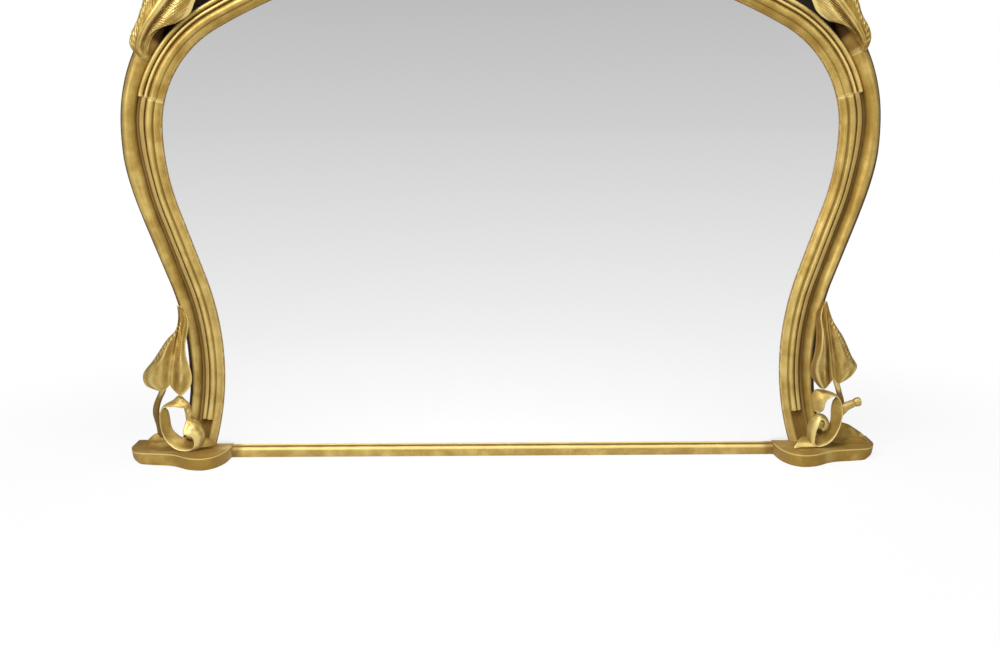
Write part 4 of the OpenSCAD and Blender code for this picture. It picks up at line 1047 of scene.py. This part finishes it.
left_back = [(-6, 73, 70), (-7, 84, 68), (-4, 94, 68), (6, 104, 66), (12, 110, 65), (19, 109, 64),
             (27, 101, 66), (38, 95, 68), (44, 88, 70), (38, 81, 70), (35, 67, 70), (33, 50, 70),
             (29, 40, 70), (22, 32, 69), (15, 26, 67), (7, 24, 64), (-9, 16, 61), (-20, 8, 60),
             (-26, 19, 60), (-28, 30, 58), (-27, 40, 58), (-24, 51, 58), (-18, 58, 60), (-10, 64, 62),
             (-4, 67, 64)]
tongue_front = [(-14, 6, 90, -1, 2.5), (-18, 6, 88, -2, 2.5), (-26, 6, 82, -3, 2.2), (-36, 5, 76, -4, 2),
                (-45, 6, 70, -3, 1.8), (-50, 7, 64, -1, 1.5)]
tongue_back = [(-14, 12, 68), (-19, 15, 66), (-27, 22, 62), (-36, 20, 58), (-44, 15, 54), (-49, 9, 56)]
knuckle = [(-4, 90, 74, 5, 3), (-3, 83, 77, 7, 6), (-5, 76, 78, 8, 7), (-4, 69, 77, 8, 6),
           (-7, 60, 76, 8, 6)]
tendril = bmesh.new()
scroll(tendril, at_foot(left_front), at_foot(left_back), 300, 48)
rod(tendril, at_foot(knuckle), 50, 28)
lump(tendril, (-10, 42, 75), (16, 17, 19))
scroll(tendril, at_foot(tongue_front), at_foot(tongue_back), 60, 32)


def tendril_shade(co):
    """Painted shade deep inside the curls and on the parts nearest the wall."""
    core = (-1, 19, 64) if co.x < 0 else (7, 28, 66)
    near = math.dist((abs(co.x) - FOOT_X, co.y - PLINTH_H, co.z - BACK), core)
    return max(0.6 * ease((BACK + 77 - co.z) / 14), 0.9 * ease((11 - near) / 6))


def tendril_wear_and_highlight(co):
    """The tendrils stand proud of all the rest and are paler towards their front: partly wear, partly painted
    highlight.
    """
    return 0.14 + 0.36 * ease((co.z - BACK - 86) / 8)


hang(stand_flat(fused(tendril)), "left_tendril_carved", tendril_gilt, ["left_tendril"], left=True,
     passes=24, depth=2.2, painted_shade=tendril_shade, wear_and_highlight=tendril_wear_and_highlight)

right_front = [(2, 70, 82, 2, 3.5), (9, 76, 86, 2, 3.5), (11, 85, 89, 3, 3.2), (13, 93, 90, 3.5, 3),
               (16, 98, 90, 3.5, 2.8), (22, 102, 90, 3, 2.3), (28, 105, 89, 2, 2.3), (36, 103, 88, 1, 2.4),
               (43, 95, 88, 1.5, 2.5), (47, 81, 88, 2, 2.5), (48, 68, 88, 2, 2.5), (45, 52, 89, 2.5, 2.5),
               (41, 39, 91, 3, 2.5), (33, 24, 93, 3, 2.5), (22, 12, 95, 3, 2.5), (8, 5, 96, 3, 2.5),
               (-3, 4, 96, 3, 2.5), (-9, 11, 96, 4, 2.5), (-8, 24, 96, 5, 2.5), (-6, 35, 96, 6, 2.5),
               (-2, 45, 96, 7, 2.5), (2, 55, 95, 7, 2.8), (4, 60, 92, 5, 3), (10, 56, 88, 3, 3.5),
               (14, 48, 86, 2, 4), (12, 40, 84, 1, 4.5), (7, 38, 82, 1, 4.5)]
right_back = [(-7, 73, 74), (-10, 78, 72), (-12, 90, 70), (-12, 104, 68), (-4, 115, 66), (14, 113, 66),
              (29, 107, 67), (36, 101, 70), (30, 92, 70), (27, 77, 70), (27, 62, 70), (26, 48, 69),
              (22, 41, 68), (19, 34, 66), (16, 26, 64), (10, 23, 62), (-1, 16, 60), (-10, 4, 60),
              (-14, 18, 60), (-16, 31, 60), (-14, 42, 60), (-8, 52, 60), (0, 60, 62), (13, 59, 64),
              (21, 47, 66), (19, 37, 68), (10, 33, 72)]
tongue_front = [(-4, 4, 95, -1, 2.4), (-9, 3, 95, -2, 2.4), (-23, 2, 94, -3, 2.4), (-35, 2, 94, -3, 2.2),
                (-44, 1, 97, -2, 2), (-50, 1, 101, -1, 1.4)]
tongue_back = [(-8, 12, 72), (-12, 14, 70), (-22, 18, 68), (-32, 16, 70), (-43, 8, 84), (-50, 2, 94)]
cut_shoot = [(44, 70, 74, 10, 10), (51, 77, 74, 10, 10), (57, 81, 73, 9, 9), (65, 84, 71, 8.2, 8.2),
             (71, 86, 69, 8, 8), (74, 87, 68.5, 7, 7), (77, 88, 68, 8.8, 8.8), (81, 89, 67, 9.2, 9.2),
             (87, 90, 66, 8.6, 8.6)]
tendril = bmesh.new()
scroll(tendril, at_foot(right_front), at_foot(right_back), 320, 48)
scroll(tendril, at_foot(tongue_front), at_foot(tongue_back), 60, 32)
rod(tendril, at_foot(cut_shoot), 90, 28)
lump(tendril, (9, 43, 71), (9.5, 10, 10))
lump(tendril, (7, 28, 60), (13, 14, 7))
hang(stand_flat(fused(tendril)), "right_tendril_carved", tendril_gilt, ["right_tendril"], passes=24,
     depth=2.2, painted_shade=tendril_shade, wear_and_highlight=tendril_wear_and_highlight)
out_of_reflections("left_tendril_carved", "right_tendril_carved")

# %% [markdown]
# Root mounds and crown bud are round forms: a sheet whose one direction goes round and whose
# other rises from the rim to the top, where its edge closes to a point. Each root is two
# mounds, a low one in front of a high one, and its foot is darkened with painted shade.

# %% Root mounds and the crown bud
def mound(bm, c, r, h, skew, lumps):
    """Adds a mound: its middle, its half sizes, its height, how far its top leans, how lumpy it is."""
    def place(a, f):
        turn, s = -2 * math.pi * a, math.radians(88 * f)
        girth = math.cos(s) * (1 + 0.08 * math.sin(3 * turn))
        p = Vector((FOOT_X + c[0] + r[0] * girth * math.cos(turn) + skew * math.sin(s),
                    PLINTH_H + h * math.sin(s), BACK + c[1] + r[1] * girth * math.sin(turn)))
        p.y += lumps * math.sin(s) * math.cos(s) * 2 * noise.noise(p * 0.07) - 0.02
        p.y = max(p.y, PLINTH_H)
        return p

    made = bent_sheet(bm, 90, 40, place, 0.1, 0.05)
    close_ends(bm, made, 0.05)


def mound_shade(co):
    # Painted shade round the mound's foot, where it meets the plinth.
    return 0.45 * ease((14 - co.y + PLINTH_H) / 8)


roots = {True: (((70, 31), (24, 11), 25, -4, 3), ((66, 43), (32, 14), 11, -4, 3)),
         False: (((77, 34), (38, 17), 40, -27, 3), ((84, 44), (26, 12), 13, -4, 2))}
for left, hand in SIDES[::-1]:
    root = bmesh.new()
    for high_then_low in roots[left]:
        mound(root, *high_then_low)
    hang(root, f"{hand}_root_mound_carved", base_gilt, [f"{hand}_root_mound"], left=left, painted_shade=mound_shade)

bud_base = CREST_IN + TIP_W
bud_rings = [(CREST_IN - 16, 3, 5), (CREST_IN - 8, 8, 13), (CREST_IN, BUD_NECK, 20),
             (bud_base, BUD_NECK, 22), (bud_base + 10.1, 18, 23), (bud_base + 22.4, 21, 24),
             (bud_base + 36.4, 15.5, 18), (bud_base + 49.3, 6.7, 9), (bud_base + 56, 1.5, 2)]


def bud_place(a, f):
    p = through(bud_rings, a)
    half = min(p[1], BUD_NECK) if p[0] < bud_base + 1 else p[1]
    turn, above = 2 * math.pi * f, p[0] - bud_base
    petal = 1 - 0.09 * ease(above / 12) * (0.5 + 0.5 * math.cos(6 * turn + 0.03 * above)) ** 3
    middle = (BACK + STEM_TOP) / 2
    return Vector((half * petal * math.cos(turn), crown_z + p[0], middle - p[2] * petal * math.sin(turn)))


bud = bmesh.new()
bent_sheet(bud, 110, 96, bud_place, 0.1, 0.05)
close_ends(bud)
hang(bud, "crown_bud_carved", carved_gilt, ["crown_bud"], passes=14)

# %% [markdown]
# The mirror plate is silvered glass. A mirror has next to no colour of its own: it shows the
# room. So its material is a bright metal as smooth as glass, with the faintest haze of polish.
# The dark ground behind the crest, the back boards and the fixings keep their solids.

# %% Glass, ground, pine, steel and felt
def silvered():
    b = Bench("silvered plate")
    where = b.where()
    haze = b.noise(where, 6.0, 3.0)
    wisp = b.noise(b.stretched(where, 3.0, 3.0, 22.0), 1.0, 2.0)
    return b.done(Base_Color=b.blend(haze, (0.965, 0.970, 0.970), (0.975, 0.977, 0.975)), Metallic=1.0,
                  Roughness=0.008 + 0.012 * b.between(haze * 0.6 + wisp * 0.4, 0.45, 0.7))


# The ground behind the crest is near black: black-brown paint, darkened further as painted shade of the deep
# recess.
def dark_ground_in_shade():
    b = Bench("black-brown ground")
    where = b.where()
    grain = b.noise(b.stretched(where, 20.0, 90.0, 90.0), 3.0, 4.0)
    dust = b.between(b.noise(where, 40.0), 0.5, 0.8)
    return b.done(Base_Color=b.blend(dust * 0.5, b.blend(grain, (0.006, 0.004, 0.003), (0.022, 0.013, 0.008)),
                                     (0.05, 0.036, 0.024)),
                  Roughness=0.75 + dust * 0.2, Normal=b.bump(grain, 0.0004, 0.5))


def pine():
    b = Bench("old pine")
    where = b.where()
    bent = b.stretched(where, 1.1, 15.0, 12.0)
    rings = b.noise(bent, 3.0, 4.0, 0.6)
    grain = b.node("ShaderNodeTexWave", {"wave_type": "BANDS", "bands_direction": "Z"},
                   {"Vector": bent, "Scale": 0.8, "Distortion": 11.0, "Detail": 3.0, "Detail Scale": 0.7})
    streak = b.noise(b.stretched(where, 5.0, 240.0, 200.0), 1.0, 3.0)
    fibre = b.noise(b.stretched(where, 40.0, 900.0, 900.0), 1.0, 2.0)
    stain = b.between(b.noise(where, 5.0, 4.0), 0.45, 0.75)
    late = b.between(grain * 0.2 + rings * 0.45 + streak * 0.35, 0.28, 0.76)
    wood = b.blend(late, (0.42, 0.27, 0.125), (0.235, 0.13, 0.05))
    wood = b.blend(fibre * 0.35, wood, (0.16, 0.085, 0.035))
    wood = b.blend(stain * 0.45, wood, (0.11, 0.065, 0.035))
    return b.done(Base_Color=wood, Roughness=0.72 + fibre * 0.15,
                  Normal=b.bump(fibre * 0.6 + streak * 0.4, 0.0004, 0.5))


def dull_steel():
    b = Bench("dull steel")
    where = b.where()
    rust = b.between(b.noise(where, 70.0, 5.0, 0.65), 0.55, 0.72)
    scratch = b.noise(b.stretched(where, 150.0, 900.0, 1900.0), 1.0, 2.0)
    metal = b.blend(scratch, (0.24, 0.235, 0.225), (0.42, 0.41, 0.40))
    return b.done(Base_Color=b.blend(rust * 0.8, metal, (0.13, 0.05, 0.022)), Metallic=1.0 - rust * 0.85,
                  Roughness=0.36 + scratch * 0.15 + rust * 0.35,
                  Normal=b.bump(rust + scratch * 0.2, 0.0003, 0.5))


def felt():
    b = Bench("felt")
    where = b.where()
    fuzz = b.noise(where, 900.0, 4.0, 0.7)
    return b.done(Base_Color=b.blend(fuzz, (0.035, 0.028, 0.022), (0.10, 0.08, 0.062)), Roughness=0.95,
                  Normal=b.bump(fuzz, 0.0006, 0.7))


finishes = {"mirror_glass": silvered(), "recess_black": dark_ground_in_shade(), "pine": pine(), "steel": dull_steel(),
            "felt": felt(), "aged_gilding": carved_gilt}
slot_of = {part["node"]: part["material_slot"] for part in frame["record"]["subparts"]}
for name, node in frame["nodes"].items():
    node.data.materials.clear()
    node.data.materials.append(finishes[slot_of[name]])
print("CAD nodes finished:", sum(1 for n in frame["nodes"].values() if not n.hide_render))

# %% [markdown]
# The studio. The mirror shows whatever stands behind the camera, and the photograph shows it
# paling evenly from mid grey above to white below: a long white floor that falls off into a
# greyer distance. The floor and the world are that gradation for reflected rays, and plain
# white for the camera. The floor has greyed half as much as it ever will at HALF_GREY metres.

# %% Floor and world
HALF_GREY = 2.77


def paper_floor():
    b = Bench("paper floor")
    where = b.where()
    away = b.node("ShaderNodeVectorMath", {"operation": "LENGTH"}, {0: where}, out=1)
    ratio = b.sum("DIVIDE", away, away + HALF_GREY)
    tooth = b.noise(where, 300.0, 3.0)
    glow = 1.04 - ratio * 0.42
    path = b.tree.nodes.new("ShaderNodeLightPath")
    camera, glossy, through_glass = (Wire(b, path.outputs[name]) for name in
                                     ("Is Camera Ray", "Is Glossy Ray", "Is Transmission Ray"))
    shown = b.sum("MAXIMUM", camera, b.sum("MAXIMUM", glossy, through_glass))
    strength = 1.0 * camera + (1.0 - camera) * glow
    white = b.node("ShaderNodeEmission", {}, {"Color": (1, 1, 1, 1), "Strength": strength})
    b.set(b.shader, {"Base Color": b.blend(tooth, (0.80, 0.80, 0.80), (0.84, 0.84, 0.84)), "Roughness": 0.9})
    paper = Wire(b, b.shader.outputs[0])
    share = 0.88 + 0.12 * b.between(away, 0.8, 1.6)
    mixed = b.node("ShaderNodeMixShader", {}, {0: shown * share, 1: paper, 2: white})
    b.set(b.end, {"Surface": mixed})
    return b.made


sheet = bmesh.new()
bmesh.ops.create_grid(sheet, x_segments=2, y_segments=2, size=30.0)
floor_mesh = bpy.data.meshes.new("floor")
sheet.to_mesh(floor_mesh)
floor = bpy.data.objects.new("floor", floor_mesh)
floor.location = (0, 0, -0.0005)
floor_mesh.materials.append(paper_floor())
bpy.context.scene.collection.objects.link(floor)

studio = Bench("studio", bpy.data.worlds)
bpy.context.scene.world = studio.made
way = studio.node("ShaderNodeTexCoord", out=0)
height = studio.node("ShaderNodeSeparateXYZ", {}, {"Vector": way}, out=2)
across = studio.node("ShaderNodeSeparateXYZ", {}, {"Vector": way}, out=0)
aside = studio.sum("ABSOLUTE", across, 0.0)
low = studio.node("ShaderNodeMapRange", {}, {"Value": height, "From Min": -0.024, "From Max": 0.15,
                                             "To Min": 0.65, "To Max": 0.42})
sides = 1.0 - studio.between(aside, 0.45, 0.95) * 0.6
path = studio.tree.nodes.new("ShaderNodeLightPath")
camera, glossy = Wire(studio, path.outputs["Is Camera Ray"]), Wire(studio, path.outputs["Is Glossy Ray"])
room = glossy * low * sides + (1.0 - glossy) * 0.30
studio.done(Color=(1, 1, 1, 1), Strength=camera + (1.0 - camera) * room)

# %% [markdown]
# Three soft boxes: a wide one above the camera to the left, a weaker one to the right, and a
# strip overhead that draws the light lines along the tops of the mouldings.

# %% Lamps
def soft_box(name, place, target, size, watts):
    lamp = bpy.data.lights.new(name, "AREA")
    lamp.shape, lamp.size, lamp.size_y, lamp.energy = "RECTANGLE", size[0], size[1], watts
    box = bpy.data.objects.new(name, lamp)
    box.location = place
    box.rotation_euler = (Vector(target) - Vector(place)).to_track_quat("-Z", "Y").to_euler()
    bpy.context.scene.collection.objects.link(box)


soft_box("key", (-1.7, -2.7, 2.3), (0, 0, 0.6), (1.5, 1.1), 74)
soft_box("fill", (2.2, -2.4, 1.9), (0, 0, 0.5), (1.4, 1.4), 16)
soft_box("overhead", (0, -0.9, 2.6), (0, 0, 0.6), (2.2, 0.7), 36)

# %% [markdown]
# The camera stands 2.8 m from the wall and 0.72 m above the shelf and looks down by 9 degrees,
# with a 50 mm lens. Those numbers come from the photograph's own lines: the rail's length, the
# horizon where the plinth tops vanish, and a third of a degree of tilt.

# %% Camera
CAMERA_PLACE, LOOKS_DOWN, CAMERA_TILT, FOCAL_LENGTH = (-0.0036, -2.721, 0.72), 9.1846, -0.34, 49.64
lens = bpy.data.cameras.new("camera")
lens.lens, lens.sensor_width = FOCAL_LENGTH, 36.0
lens.clip_start, lens.clip_end = 0.1, 100.0
camera_object = bpy.data.objects.new("camera", lens)
camera_object.matrix_world = (Matrix.Translation(CAMERA_PLACE)
                              @ Matrix.Rotation(math.radians(90 - LOOKS_DOWN), 4, "X")
                              @ Matrix.Rotation(math.radians(CAMERA_TILT), 4, "Z"))
bpy.context.scene.collection.objects.link(camera_object)
bpy.context.scene.camera = camera_object
bpy.context.scene.view_settings.view_transform = "Standard"

# %% Measure and finish
print("faces in all:", sum(len(p.data.polygons) for p in pieces.values()))
